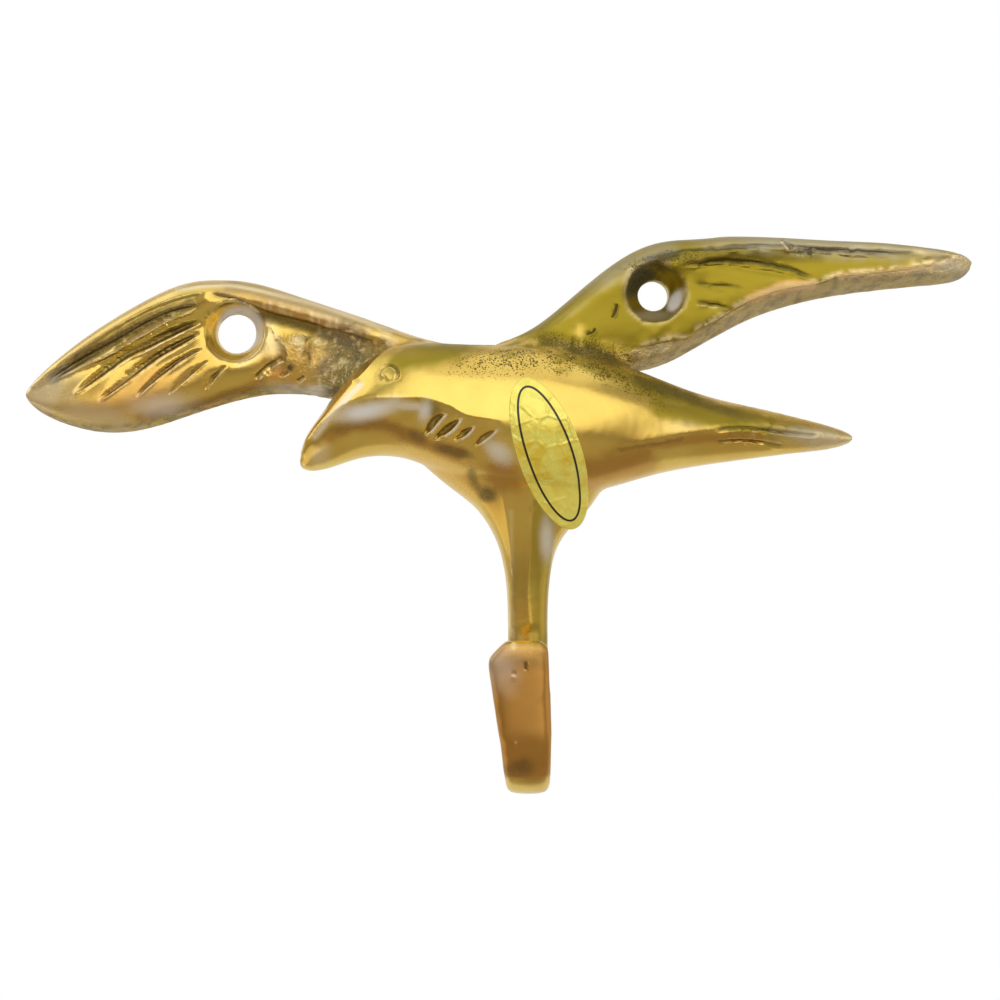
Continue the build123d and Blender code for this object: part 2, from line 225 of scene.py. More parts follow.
@dataclass(frozen=True)
class Stroke(Curve):
    """A tool mark along the front face.

    Depth and width are in millimetres, and rough is how far the mark strays from its line. Dirt, and the
    wearing with painted highlight along a ridge, are shares from 0 to 1. Fade is the share of the length
    over which an end runs out, and taper is how much narrower the ends are than the middle.
    """

    depth: float
    width: float
    cut: Cut = Cut.FEATHER
    dirt: float = 0.6
    wear_and_highlight: float = 0.0
    fade: float = 0.08
    taper: float = 0.0
    rough: float = 0.06

    # Across a mark, in widths: where dirt lies, where it is painted bright for wearing and highlight, and
    # where it shapes the surface most.
    DIRT_AT: ClassVar[dict[Cut, float]] = {
        Cut.FEATHER: -0.95,
        Cut.LEDGE: 0.35,
        Cut.GASH: 0.0,
        Cut.CREST: 0.0,
    }
    WEAR_AND_HIGHLIGHT_AT: ClassVar[dict[Cut, float]] = {
        Cut.FEATHER: 0.0,
        Cut.LEDGE: -0.15,
        Cut.GASH: 1.0,
        Cut.CREST: 0.0,
    }
    SPAN: ClassVar[dict[Cut, Span]] = {
        Cut.FEATHER: (-1.9, 0.7),
        Cut.LEDGE: (-0.4, 0.8),
        Cut.GASH: (-1.2, 1.5),
        Cut.CREST: (-0.3, 0.3),
    }
    LIMIT: ClassVar[float] = 4.0
    DIRT_WIDTH: ClassVar[float] = 0.55
    WEAR_AND_HIGHLIGHT_WIDTH: ClassVar[float] = 0.3
    GROOVE_WIDTH: ClassVar[float] = 0.6
    RIDGE_WIDTH: ClassVar[float] = 0.4
    RIDGE_HEIGHT: ClassVar[float] = 0.4
    LEDGE_DROP: ClassVar[Span] = (0.0, 0.4)
    LEDGE_RETURN: ClassVar[Span] = (0.5, 2.4)
    CREST_LIFT: ClassVar[float] = 0.2
    CREST_FALL: ClassVar[float] = 1.5
    CREST_TIP: ClassVar[float] = 0.13
    CREST_END: ClassVar[Span] = (1.5, 3.0)

    def near(self, flat: np.ndarray) -> np.ndarray:
        """Whether points (x, z) lie where the mark shapes the surface most."""
        across = self.measure(flat)[0] / self.width
        low, high = self.SPAN[self.cut]
        return (across > low) & (across < high)

    def girth(self, along: np.ndarray) -> np.ndarray:
        """Width of the mark along it, narrower towards its ends by the taper."""
        return self.width * (1.0 - self.taper * (2.0 * along - 1.0) ** 2)

    def profile(self, s: np.ndarray) -> np.ndarray:
        """Height of the mark, as a share of its depth, by the distance across it in widths."""
        if self.cut is Cut.FEATHER:
            return self._ridge(s, 0.0) - self._groove(s, -1.0)
        if self.cut is Cut.LEDGE:
            return -ramp(s, *self.LEDGE_DROP) * (1.0 - ramp(s, *self.LEDGE_RETURN))
        if self.cut is Cut.GASH:
            return self._ridge(s, 1.0) - self._groove(s, 0.0)
        rise = np.exp(self.CREST_LIFT - self.CREST_FALL * np.hypot(s, self.CREST_TIP))
        return rise * (1.0 - ramp(np.abs(s), *self.CREST_END))

    def _ridge(self, s: np.ndarray, centre: float) -> np.ndarray:
        """Raised edge of a cut."""
        return self.RIDGE_HEIGHT * bell(s, centre, self.RIDGE_WIDTH)

    def _groove(self, s: np.ndarray, centre: float) -> np.ndarray:
        """Depth of a cut."""
        return bell(s, centre, self.GROOVE_WIDTH)

    def dirty(self, s: np.ndarray) -> np.ndarray:
        """Dirt that the mark holds, by the distance across it in widths."""
        return self.dirt * bell(s, self.DIRT_AT[self.cut], self.DIRT_WIDTH)

    def worn_and_lit(self, s: np.ndarray) -> np.ndarray:
        """Wearing and painted highlight along the mark, by the distance across it in widths."""
        return self.wear_and_highlight * bell(s, self.WEAR_AND_HIGHLIGHT_AT[self.cut], self.WEAR_AND_HIGHLIGHT_WIDTH)

    def ends(self, along: np.ndarray) -> np.ndarray:
        """1 along the stroke, fading to 0 at its two ends."""
        return ramp(along, 0.0, self.fade) * ramp(along, 1.0, 1.0 - self.fade)


@dataclass(frozen=True)
class Swath(Curve):
    """A soft-edged band of paint along a curve."""

    half_width: float
    amount: float = 1.0
    edge: float = 0.6
    ragged: float = 0.3

    def cover(self, flat: np.ndarray, wander: np.ndarray) -> np.ndarray:
        """How much of the band is at each point.

        Args:
            flat: Points (x, z), one row each.
            wander: Noise that makes the band's edge irregular.

        Returns:
            Numbers from 0 to the band's amount.
        """
        across = np.abs(self.measure(flat)[0]) / self.half_width
        return self.amount * ramp(across + self.ragged * wander, 1.0 + self.edge, 1.0 - self.edge)


@dataclass(frozen=True)
class Patch:
    """A soft-edged oval area of the front face, as it is seen from the front."""

    centre: Point
    half_length: float
    half_width: float
    tilt_deg: float = 0.0
    amount: float = 1.0
    edge: float = 0.5
    ragged: float = 0.3

    def cover(self, flat: np.ndarray, wander: np.ndarray) -> np.ndarray:
        """How much of the patch is at each point.

        Args:
            flat: Points (x, z), one row each.
            wander: Noise that makes the patch's edge irregular.

        Returns:
            Numbers from 0 to the patch's amount.
        """
        tilt = math.radians(self.tilt_deg)
        offset = flat - np.array(self.centre)
        u = (offset[:, 0] * math.cos(tilt) + offset[:, 1] * math.sin(tilt)) / self.half_length
        v = (-offset[:, 0] * math.sin(tilt) + offset[:, 1] * math.cos(tilt)) / self.half_width
        return self.amount * ramp(np.hypot(u, v) + self.ragged * wander, 1.0 + self.edge, 1.0 - self.edge)


class Graph:
    """Adds nodes to a node tree and links them."""

    def __init__(self, tree: bpy.types.NodeTree) -> None:
        """Starts with an empty tree."""
        self.tree = tree
        tree.nodes.clear()

    def node(self, kind: str, inputs: dict | None = None, **settings: object) -> bpy.types.Node:
        """Adds a node.

        Args:
            kind: Blender's name of the node type.
            inputs: Input sockets by name or index, each with a value or a socket to link from.
            settings: The node's own properties.

        Returns:
            The new node.
        """
        made = self.tree.nodes.new(kind)
        for name, value in settings.items():
            setattr(made, name, value)
        for key, value in (inputs or {}).items():
            if isinstance(value, Socket):
                self.tree.links.new(value, made.inputs[key])
            else:
                made.inputs[key].default_value = value
        return made

    def math(self, operation: str, *values: object) -> Socket:
        """The result of one of the Math node's operations on values or sockets."""
        return self.node("ShaderNodeMath", dict(enumerate(values)), operation=operation).outputs[0]

    def mix(self, share: object, first: object, second: object) -> Socket:
        """Colour between two colours, each a value or a socket."""
        colours = [(*c, 1.0) if isinstance(c, tuple) else c for c in (first, second)]
        made = self.node("ShaderNodeMix", {0: share, 6: colours[0], 7: colours[1]}, data_type="RGBA")
        return made.outputs[2]

    def vector(self, operation: str, *values: object) -> bpy.types.Node:
        """A Vector Math node on values or sockets."""
        return self.node("ShaderNodeVectorMath", dict(enumerate(values)), operation=operation)

    def ladder(self, value: Socket, stops: dict[float, Colour]) -> Socket:
        """Colour that goes from stop to stop as a value goes from 0 to 1.

        Args:
            value: The value.
            stops: Colours by the value that they stand at.

        Returns:
            The colour.
        """
        made = self.node("ShaderNodeValToRGB", {0: value})
        rungs = made.color_ramp.elements
        while len(rungs) < len(stops):
            rungs.new(0.5)
        for rung, (at, colour) in zip(rungs, sorted(stops.items())):
            rung.position = at
            rung.color = (*colour, 1.0)
        return made.outputs[0]

    def spread(
        self, value: object, low: float, high: float, to_low: float = 0.0, to_high: float = 1.0
    ) -> Socket:
        """Maps a value from one range to another, and keeps it inside."""
        made = self.node("ShaderNodeMapRange", {0: value, 1: low, 2: high, 3: to_low, 4: to_high})
        return made.outputs[0]

    def attribute(self, name: str) -> Socket:
        """A number painted on the mesh."""
        return self.node("ShaderNodeAttribute", attribute_name=name).outputs["Fac"]

    def place(self, scale: Place = (1.0, 1.0, 1.0)) -> Socket:
        """The surface's place in the object, stretched by scale."""
        where = self.node("ShaderNodeTexCoord").outputs["Object"]
        return self.node("ShaderNodeMapping", {"Vector": where, "Scale": scale}).outputs[0]

    def noise(self, place: Socket, size: float, detail: float = 3.0) -> Socket:
        """Noise of about that size in millimetres, from 0 to 1."""
        inputs = {"Vector": place, "Scale": 1.0 / (size * MM), "Detail": detail}
        return self.node("ShaderNodeTexNoise", inputs).outputs["Fac"]

    def bump(self, height: object, depth: float, under: object = None) -> Socket:
        """Bump of that depth in millimetres, on top of another one."""
        inputs = {"Height": height, "Distance": depth * MM, "Strength": 1.0}
        if under is not None:
            inputs["Normal"] = under
        return self.node("ShaderNodeBump", inputs).outputs[0]

    def surface(self, colour: object, roughness: object, metal: object = 0.0, normal: object = None) -> None:
        """Ends a material with an opaque surface.

        Args:
            colour: Base colour.
            roughness: From 0, a mirror, to 1.
            metal: 1 for bare metal.
            normal: Bump, if there is one.
        """
        inputs = {"Base Color": colour, "Metallic": metal, "Roughness": roughness}
        if normal is not None:
            inputs["Normal"] = normal
        shader = self.node("ShaderNodeBsdfPrincipled", inputs)
        self.node("ShaderNodeOutputMaterial", {"Surface": shader.outputs[0]})


def new_material(name: str) -> tuple[bpy.types.Material, Graph]:
    """Makes a material that has no nodes yet.

    Args:
        name: The material's name.

    Returns:
        The material and its graph.
    """
    made = bpy.data.materials.new(name)
    made.use_nodes = True
    return made, Graph(made.node_tree)


@dataclass(frozen=True)
class BrassFinish:
    """Hand-polished cast brass, aged in its hollows, with painted highlights, reflections and shade in its
    colour.
    """

    gold: Colour = (0.86, 0.63, 0.15)
    deep: Colour = (0.76, 0.50, 0.11)
    olive: Colour = (0.33, 0.255, 0.02)
    # Coppery tone, also the tint of painted highlights.
    copper_and_highlight: Colour = (0.84, 0.47, 0.14)
    # Brownish tone, also painted as shade along the cheek.
    brown_and_shade: Colour = (0.52, 0.26, 0.06)
    # Dark colour of tarnished dirt, also of painted shade.
    grime_and_shade: Colour = (0.085, 0.08, 0.045)
    # Pale matt colour of a hazy film, also of painted reflections and highlights.
    haze_and_reflection: Colour = (0.82, 0.80, 0.78)
    # Colour of rubbed-bright brass, also of painted highlights and glints.
    worn_and_lit: Colour = (0.97, 0.80, 0.44)
    pit: Colour = (0.20, 0.14, 0.03)
    polish: float = 0.18
    haze_and_reflection_metal: float = 0.2
    cloud_size: float = 7.0
    cloud_amount: float = 0.8
    grime_and_shade_size: float = 0.35
    speck_size: float = 0.55
    speck_amount: float = 0.65
    speck_from: float = 0.7
    swell_size: float = 2.6
    swell_depth: float = 0.02
    sand_size: float = 0.45
    sand_depth: float = 0.4
    grain_size: float = 0.5
    grain_stretch: Place = (0.25, 1.0, 1.6)
    grain_matt: float = 0.1
    grain_share: float = 0.3
    grain_depth: float = 0.012
    pore_size: float = 0.34
    pore_largest: float = 0.42
    pore_cluster: float = 1.4
    pore_edge: float = 0.3
    pore_edge_size: float = 0.25
    pore_depth: float = 0.08

    MATT: ClassVar[dict[Mask, float]] = {
        Mask.SAND: 0.22,
        Mask.TARNISH_AND_SHADE: 0.2,
        Mask.HAZE_AND_REFLECTION: 0.16,
        Mask.OLIVE: 0.2,
        Mask.COPPER_AND_HIGHLIGHT: 0.15,
    }

    def material(self) -> bpy.types.Material:
        """The finish as a procedural material.

        Returns:
            A material that reads the masks painted on the casting.
        """
        made, g = new_material("cast_brass_aged")
        masks = {m: g.attribute(m.value) for m in Mask}
        place = g.place()
        grain = g.noise(g.place(self.grain_stretch), self.grain_size, 2.0)
        hole = self._pit_holes(g, place, masks[Mask.PITS])
        colour = g.mix(hole, self._aged_colour(g, place, masks), self.pit)
        # Less metal where the pale film and the painted reflections lie, so they read pale.
        metal = g.spread(masks[Mask.HAZE_AND_REFLECTION], 0.0, 1.0, 1.0, self.haze_and_reflection_metal)

        roughness = g.math("ADD", self.polish, g.math("MULTIPLY", grain, self.grain_matt))
        for mask, extra in self.MATT.items():
            roughness = g.math("ADD", roughness, g.math("MULTIPLY", masks[mask], extra))

        sand = g.math("MULTIPLY", g.noise(place, self.sand_size), masks[Mask.SAND])
        normal = g.bump(g.noise(place, self.swell_size, 1.0), self.swell_depth)
        normal = g.bump(sand, self.sand_depth, normal)
        normal = g.bump(g.math("MULTIPLY", grain, self.grain_share), self.grain_depth, normal)
        normal = g.bump(g.math("MULTIPLY", hole, -1.0), self.pore_depth, normal)
        g.surface(colour, roughness, metal, normal)
        return made

    def _aged_colour(self, g: Graph, place: Socket, masks: dict[Mask, Socket]) -> Socket:
        """Brass with its tones, tarnished patches with painted shade, rubbed-bright places with painted
        highlights, specks painted as glints, and a pale film with painted reflections.

        Args:
            g: The material's graph.
            place: Where the surface is.
            masks: How much of each tone there is.

        Returns:
            The colour.
        """
        cloud = g.spread(g.noise(place, self.cloud_size), 0.35, 0.7, 0.0, self.cloud_amount)
        colour = g.mix(cloud, self.gold, self.deep)
        tones = {Mask.OLIVE: self.olive, Mask.COPPER_AND_HIGHLIGHT: self.copper_and_highlight, Mask.BROWN: self.brown_and_shade}
        for mask, tone in tones.items():
            colour = g.mix(masks[mask], colour, tone)
        # Tarnished patches; where the mask lies on the cheek under the brow and on the tab's top it is
        # painted shade.
        patchy = g.spread(g.noise(place, self.grime_and_shade_size), 0.3, 0.65, 0.8, 1.15)
        dirt = g.math("MINIMUM", g.math("MULTIPLY", masks[Mask.TARNISH_AND_SHADE], patchy), 1.0)
        colour = g.mix(dirt, colour, self.grime_and_shade)
        colour = g.mix(masks[Mask.WEAR_AND_HIGHLIGHT], colour, self.worn_and_lit)
        # Painted glints: pale specks on the sandiest areas.
        speck = g.spread(g.noise(place, self.speck_size), 0.55, 0.65, 0.0, self.speck_amount)
        coarse = g.spread(masks[Mask.SAND], self.speck_from, 1.0)
        colour = g.mix(g.math("MULTIPLY", speck, coarse), colour, self.worn_and_lit)
        return g.mix(masks[Mask.HAZE_AND_REFLECTION], colour, self.haze_and_reflection)

    def _pit_holes(self, g: Graph, place: Socket, mask: Socket) -> Socket:
        """Small casting pores.

        Args:
            g: The material's graph.
            place: Where the surface is.
            mask: Where pores are, from 0 to 1.

        Returns:
            1 inside a pore and 0 outside.
        """
        scale = 1.0 / (self.pore_size * MM)
        cells = g.node("ShaderNodeTexVoronoi", {"Vector": place, "Scale": scale, "Randomness": 1.0})
        ragged = g.math("MULTIPLY", g.noise(place, self.pore_edge_size), self.pore_edge)
        distance = g.math("SUBTRACT", cells.outputs["Distance"], ragged)
        cluster = g.spread(g.noise(place, self.pore_cluster), 0.3, 0.65, 0.0, self.pore_largest)
        size = g.math("MULTIPLY", mask, cluster)
        pore = g.spread(g.math("SUBTRACT", size, distance), -0.05, 0.06)
        return g.math("MULTIPLY", pore, g.spread(mask, 0.05, 0.3))


@dataclass(frozen=True)
class FoilFinish:
    """Bright yellow foil with a printed ring, crinkled where it bends."""

    centre: Point
    half_size: Point
    tilt_deg: float
    ring_width: float = 0.34
    foil: Colour = (0.98, 0.90, 0.19)
    dull: Colour = (0.88, 0.66, 0.06)
    ink: Colour = (0.02, 0.017, 0.012)
    shine: float = 0.35
    crinkle_size: float = 2.2
    crinkle_depth: float = 0.3
    fold_size: float = 3.2
    fold_share: float = 0.3

    def material(self) -> bpy.types.Material:
        """The finish as a procedural material.

        Returns:
            A material placed on the label as it lies on the bird.
        """
        made, g = new_material("label_gold_foil")
        place = g.place()
        crinkle = g.noise(place, self.crinkle_size, 4.0)
        cells = {"Vector": place, "Scale": 1.0 / (self.fold_size * MM)}
        fold = g.node("ShaderNodeTexVoronoi", cells, feature="DISTANCE_TO_EDGE")
        crease = g.spread(fold.outputs["Distance"], 0.0, 0.12, 1.0, 0.0)
        unit = self._on_label(g)
        ink = self._ring(g, unit)
        height = g.math("ABSOLUTE", g.node("ShaderNodeSeparateXYZ", {0: unit}).outputs["Z"])
        # The foil is duller in crinkled patches, most towards the middle of the label.
        towards_middle = g.spread(height, 0.15, 0.65, 0.95, 0.4)
        dulled = g.math("MULTIPLY", g.spread(crinkle, 0.42, 0.62), towards_middle)
        colour = g.mix(ink, g.mix(dulled, self.foil, self.dull), self.ink)
        metal = g.spread(ink, 0.0, 1.0, self.shine, 0.0)
        roughness = g.spread(crinkle, 0.3, 0.7, 0.24, 0.4)
        folds = g.math("ADD", crinkle, g.math("MULTIPLY", crease, self.fold_share))
        g.surface(colour, roughness, metal, g.bump(folds, self.crinkle_depth))
        return made

    def _on_label(self, g: Graph) -> Socket:
        """The place on the label, where the ring's half width and half length are 1.

        Args:
            g: The material's graph.

        Returns:
            A vector across and along the label.
        """
        where = g.node("ShaderNodeTexCoord").outputs["Object"]
        settings = {
            "Vector": where,
            "Location": (self.centre[0] * MM, 0.0, self.centre[1] * MM),
            "Rotation": (0.0, -math.radians(self.tilt_deg), 0.0),
        }
        local = g.node("ShaderNodeMapping", settings, vector_type="TEXTURE").outputs[0]
        return g.vector("MULTIPLY", local, self._shrink()).outputs["Vector"]

    def _shrink(self) -> Place:
        """What the label's place is multiplied by, for the ring to be a circle of radius 1."""
        return (1.0 / (self.half_size[0] * MM), 0.0, 1.0 / (self.half_size[1] * MM))

    def _ring(self, g: Graph, unit: Socket) -> Socket:
        """The printed ring.

        Args:
            g: The material's graph.
            unit: The place on the label.

        Returns:
            1 on the ring's line and 0 beside it.
        """
        size = g.vector("LENGTH", unit).outputs["Value"]
        steep = g.vector("MULTIPLY", unit, self._shrink()).outputs["Vector"]
        slope = g.vector("LENGTH", steep).outputs["Value"]
        gap = g.math("DIVIDE", g.math("MULTIPLY", g.math("SUBTRACT", size, 1.0), size), slope)
        half = self.ring_width / 2 * MM
        return g.spread(g.math("ABSOLUTE", gap), half * 1.2, half * 0.8, 0.0, 1.0)


@dataclass(frozen=True)
class GroundFinish:
    """Brass ground flat on a coarse belt, for the back that lies on the wall."""

    brass: Colour = (0.70, 0.52, 0.17)
    dull: Colour = (0.42, 0.30, 0.09)
    stain_size: float = 9.0
    scratch_size: float = 0.35
    scratch_stretch: Place = (0.02, 1.0, 1.0)
    scratch_depth: float = 0.05

    def material(self) -> bpy.types.Material:
        """The finish as a procedural material with the belt's scratches along the bird."""
        made, g = new_material("cast_brass_ground")
        scratch = g.noise(g.place(self.scratch_stretch), self.scratch_size, 4.0)
        stain = g.spread(g.noise(g.place(), self.stain_size), 0.35, 0.7)
        colour = g.mix(stain, self.brass, self.dull)
        roughness = g.spread(scratch, 0.3, 0.7, 0.3, 0.5)
        g.surface(colour, roughness, 1.0, g.bump(scratch, self.scratch_depth))
        return made


@dataclass(frozen=True)
class PaperFinish:
    """Matt seamless paper for the floor."""

    paper: Colour = (0.50, 0.45, 0.37)
    fleck: Colour = (0.44, 0.395, 0.325)
    fleck_amount: float = 0.06
    tooth_size: float = 3.0
    roughness: float = 0.9

    def material(self) -> bpy.types.Material:
        """The finish as a procedural material with a faint tooth."""
        made, g = new_material("floor_paper")
        tooth = g.spread(g.noise(g.place(), self.tooth_size), 0.3, 0.7, 0.0, self.fleck_amount)
        g.surface(g.mix(tooth, self.paper, self.fleck), self.roughness)
        return made


@dataclass(frozen=True)
class WhiteFinish:
    """White sweep: white to the camera, and to shiny metal white in its middle and paper around that."""

    paper: Colour = (0.85, 0.85, 0.85)
    white: Colour = (1.0, 1.0, 1.0)
    white_to: float = 0.25
    mirror_share: float = 0.45
    paper_from: float = 0.5

    def material(self) -> bpy.types.Material:
        """The finish as a material that is white to the camera and in reflections."""
        made, g = new_material("white_sweep")
        path = g.node("ShaderNodeLightPath").outputs
        where = g.node("ShaderNodeSeparateXYZ", {0: g.node("ShaderNodeTexCoord").outputs["Object"]}).outputs
        mirrored = g.math("MULTIPLY", path["Is Glossy Ray"], self.mirror_share)
        for way in (g.math("ABSOLUTE", where["X"]), g.math("ABSOLUTE", where["Z"])):
            mirrored = g.math("MULTIPLY", mirrored, g.spread(way, self.white_to, self.paper_from, 1.0, 0.0))
        seen = g.math("MAXIMUM", path["Is Camera Ray"], path["Is Transmission Ray"])
        seen = g.math("MAXIMUM", seen, mirrored)
        matt = g.node("ShaderNodeBsdfDiffuse", {"Color": (*self.paper, 1.0)})
        white = g.node("ShaderNodeEmission", {"Color": (*self.white, 1.0), "Strength": 1.0})
        both = g.node("ShaderNodeMixShader", {0: seen, 1: matt.outputs[0], 2: white.outputs[0]})
        g.node("ShaderNodeOutputMaterial", {"Surface": both.outputs[0]})
        return made


class Skin:
    """A mesh held as arrays in millimetres, for working its surface."""

    WALL_TOUCH = 1e-3

    def __init__(self, mesh: bpy.types.Mesh) -> None:
        """Reads the points and edges of a mesh.

        Args:
            mesh: A mesh in metres.
        """
        self.mesh = mesh
        count = len(mesh.vertices)
        flat = np.zeros(count * 3)
        mesh.vertices.foreach_get("co", flat)
        self.points = flat.reshape(-1, 3) / MM
        edges = np.zeros(len(mesh.edges) * 2, int)
        mesh.edges.foreach_get("vertices", edges)
        self.edges = edges.reshape(-1, 2)
        self.degree = np.maximum(np.bincount(self.edges.ravel(), minlength=count), 1)
        self.on_wall = self.reach < self.WALL_TOUCH

    @property
    def flat(self) -> np.ndarray:
        """The points as they are seen from the front, (x, z)."""
        return self.points[:, [0, 2]]

    @property
    def reach(self) -> np.ndarray:
        """How far each point stands out of the wall."""
        return -self.points[:, 1]

    def normals(self) -> np.ndarray:
        """Outward directions of the surface at its points."""
        self.store()
        found = np.zeros(len(self.points) * 3)
        self.mesh.vertices.foreach_get("normal", found)
        return found.reshape(-1, 3)

    def around(self, values: np.ndarray) -> np.ndarray:
        """Mean of the neighbours' values at each point."""
        wide = values if values.ndim == 2 else values[:, None]
        total = np.zeros_like(wide)
        a, b = self.edges.T
        for i in range(wide.shape[1]):
            total[:, i] = np.bincount(a, wide[b, i], len(wide)) + np.bincount(b, wide[a, i], len(wide))
        mean = total / self.degree[:, None]
        return mean if values.ndim == 2 else mean[:, 0]

    def relax(self, weight: np.ndarray | float, rounds: int) -> None:
        """Moves points towards their neighbours.

        Args:
            weight: Share of the way, for all points or for each.
            rounds: How many times.
        """
        share = weight[:, None] if isinstance(weight, np.ndarray) else weight
        for _ in range(rounds):
            self.points += share * (self.around(self.points) - self.points)
            self.points[self.on_wall, 1] = 0.0

    def blur(self, values: np.ndarray, rounds: int) -> np.ndarray:
        """Values spread over their neighbours."""
        for _ in range(rounds):
            values = 0.5 * values + 0.5 * self.around(values)
        return values

    def hollow(self, rounds: int) -> np.ndarray:
        """How hollow the surface is, in millimetres, at the scale of that many rounds of blurring."""
        smooth = self.points
        for _ in range(rounds):
            smooth = 0.5 * smooth + 0.5 * self.around(smooth)
        return np.sum((smooth - self.points) * self.normals(), axis=1)

    def push(self, height: np.ndarray, direction: np.ndarray) -> None:
        """Moves points along their directions by a height in millimetres."""
        self.points += height[:, None] * direction
        self.points[:, 1] = np.where(self.on_wall, 0.0, np.minimum(self.points[:, 1], 0.0))

    def store(self) -> None:
        """Writes the points back to the mesh."""
        self.mesh.vertices.foreach_set("co", (self.points * MM).ravel())
        self.mesh.update()

    def paint(self, name: str, values: np.ndarray) -> None:
        """Keeps a number for each point under that name."""
        layer = self.mesh.attributes.new(name, "FLOAT", "POINT")
        layer.data.foreach_set("value", values.astype(np.float32))


@dataclass(frozen=True)
class Zone:
    """A part of the casting between soft limits, each from where it begins to where it is full."""

    x: tuple[Span, ...] = ()
    z: tuple[Span, ...] = ()
    reach: tuple[Span, ...] = ()

    def share(self, skin: Skin) -> np.ndarray:
        """How far each point is in the zone.

        Args:
            skin: The casting's surface.

        Returns:
            Numbers from 0 to 1.
        """
        x, z = skin.flat.T
        found = np.ones(len(x))
        for values, limits in ((x, self.x), (z, self.z), (skin.reach, self.reach)):
            for begins, full in limits:
                found *= ramp(values, begins, full)
        return found


class Coat:
    """The masks of a surface while they are painted."""

    def __init__(self, count: int) -> None:
        """Starts with nothing painted on that many points."""
        self.layers = {mask: np.zeros(count) for mask in Mask}

    def add(self, mask: Mask, amount: np.ndarray) -> None:
        """Brings a mask up to an amount at each point, where it is less."""
        self.layers[mask] = np.maximum(self.layers[mask], amount)

    def thin(self, mask: Mask, share: np.ndarray) -> None:
        """Takes a share of a mask away."""
        self.layers[mask] = self.layers[mask] * (1.0 - share)

    def paint(self, skin: Skin) -> None:
        """Keeps the masks on the surface."""
        for mask, values in self.layers.items():
            skin.paint(mask.value, np.clip(values, 0.0, 1.0))


# What marks of one kind share.
FILED = {"fade": 0.12, "taper": 0.5}
SLIT = {"wear_and_highlight": 1.0, "fade": 0.12, "taper": 0.75}
RISE = {"cut": Cut.CREST, "dirt": 0.0, "rough": 0.0}
NICK = {"cut": Cut.GASH, "dirt": 0.9}

# Tool marks: points (x, z) along each one, its depth and its width, and how it was cut.
FEATHERS = (
    Stroke(
        ((-76.5, 6.5), (-70.0, 9.7), (-65.1, 12.1), (-60.7, 14.6), (-56.7, 16.6), (-51.8, 18.2)),
        **FILED, depth=0.45, width=0.9, dirt=0.75, wear_and_highlight=0.8,
    ),
    Stroke(
        ((-72.4, 4.3), (-67.6, 7.6), (-63.5, 10.4), (-60.6, 11.7), (-55.7, 14.2), (-51.4, 16.1)),
        **FILED, depth=0.5, width=0.95, dirt=0.75, wear_and_highlight=0.85,
    ),
    Stroke(
        ((-68.2, 3.3), (-63.1, 6.9), (-58.6, 10.4), (-53.9, 13.1), (-51.8, 14.4)),
        **FILED, depth=0.45, width=0.8, dirt=0.75, wear_and_highlight=0.9,
    ),
    Stroke(
        ((-62.1, 4.0), (-58.6, 7.1), (-54.4, 10.2), (-51.5, 11.8)),
        **FILED, depth=0.32, width=0.6, dirt=0.7, wear_and_highlight=0.9,
    ),
    Stroke(((-57.1, 4.3), (-54.1, 7.0), (-50.5, 10.0)), 0.22, 0.45, wear_and_highlight=0.95, **FILED),
    Stroke(((-51.3, 5.1), (-49.8, 6.8), (-47.6, 9.1)), 0.25, 0.55, wear_and_highlight=0.95, fade=0.15, taper=0.5),
    Stroke(((-43.1, 6.7), (-41.1, 8.6), (-38.7, 10.0)), 0.3, 0.6, wear_and_highlight=0.95),
    Stroke(((-39.3, 7.2), (-38.0, 7.9)), 0.2, 0.45, wear_and_highlight=0.95),
    Stroke(((-36.6, 6.4), (-35.3, 7.2)), 0.2, 0.45, wear_and_highlight=0.95),
)
LEFT_RIM = (
    Stroke(
        ((-74.6, 9.6), (-69.6, 13.0), (-64.7, 16.0), (-59.9, 18.5), (-55.0, 20.2), (-51.0, 21.0)),
        0.45,
        1.3,
        Cut.LEDGE,
        0.3,
    ),
    Stroke(
        (
            (-51.0, 21.0),
            (-47.9, 20.6),
            (-44.5, 19.3),
            (-42.3, 18.4),
            (-39.8, 17.5),
            (-36.1, 16.6),
            (-31.3, 15.2),
            (-28.1, 14.4),
            (-23.4, 12.6),
        ),
        0.55,
        1.3,
        Cut.LEDGE,
        0.6,
    ),
    Stroke(((-40.9, 15.9), (-40.3, 14.4), (-40.0, 13.0)), 0.2, 0.6, Cut.CREST, 0.0, 0.8, 0.15),
    Stroke(
        ((-39.7, 13.1), (-38.7, 12.5), (-38.2, 11.2), (-38.2, 9.7)), 0.25, 0.6, Cut.CREST, 0.0, 0.8, 0.15
    ),
)
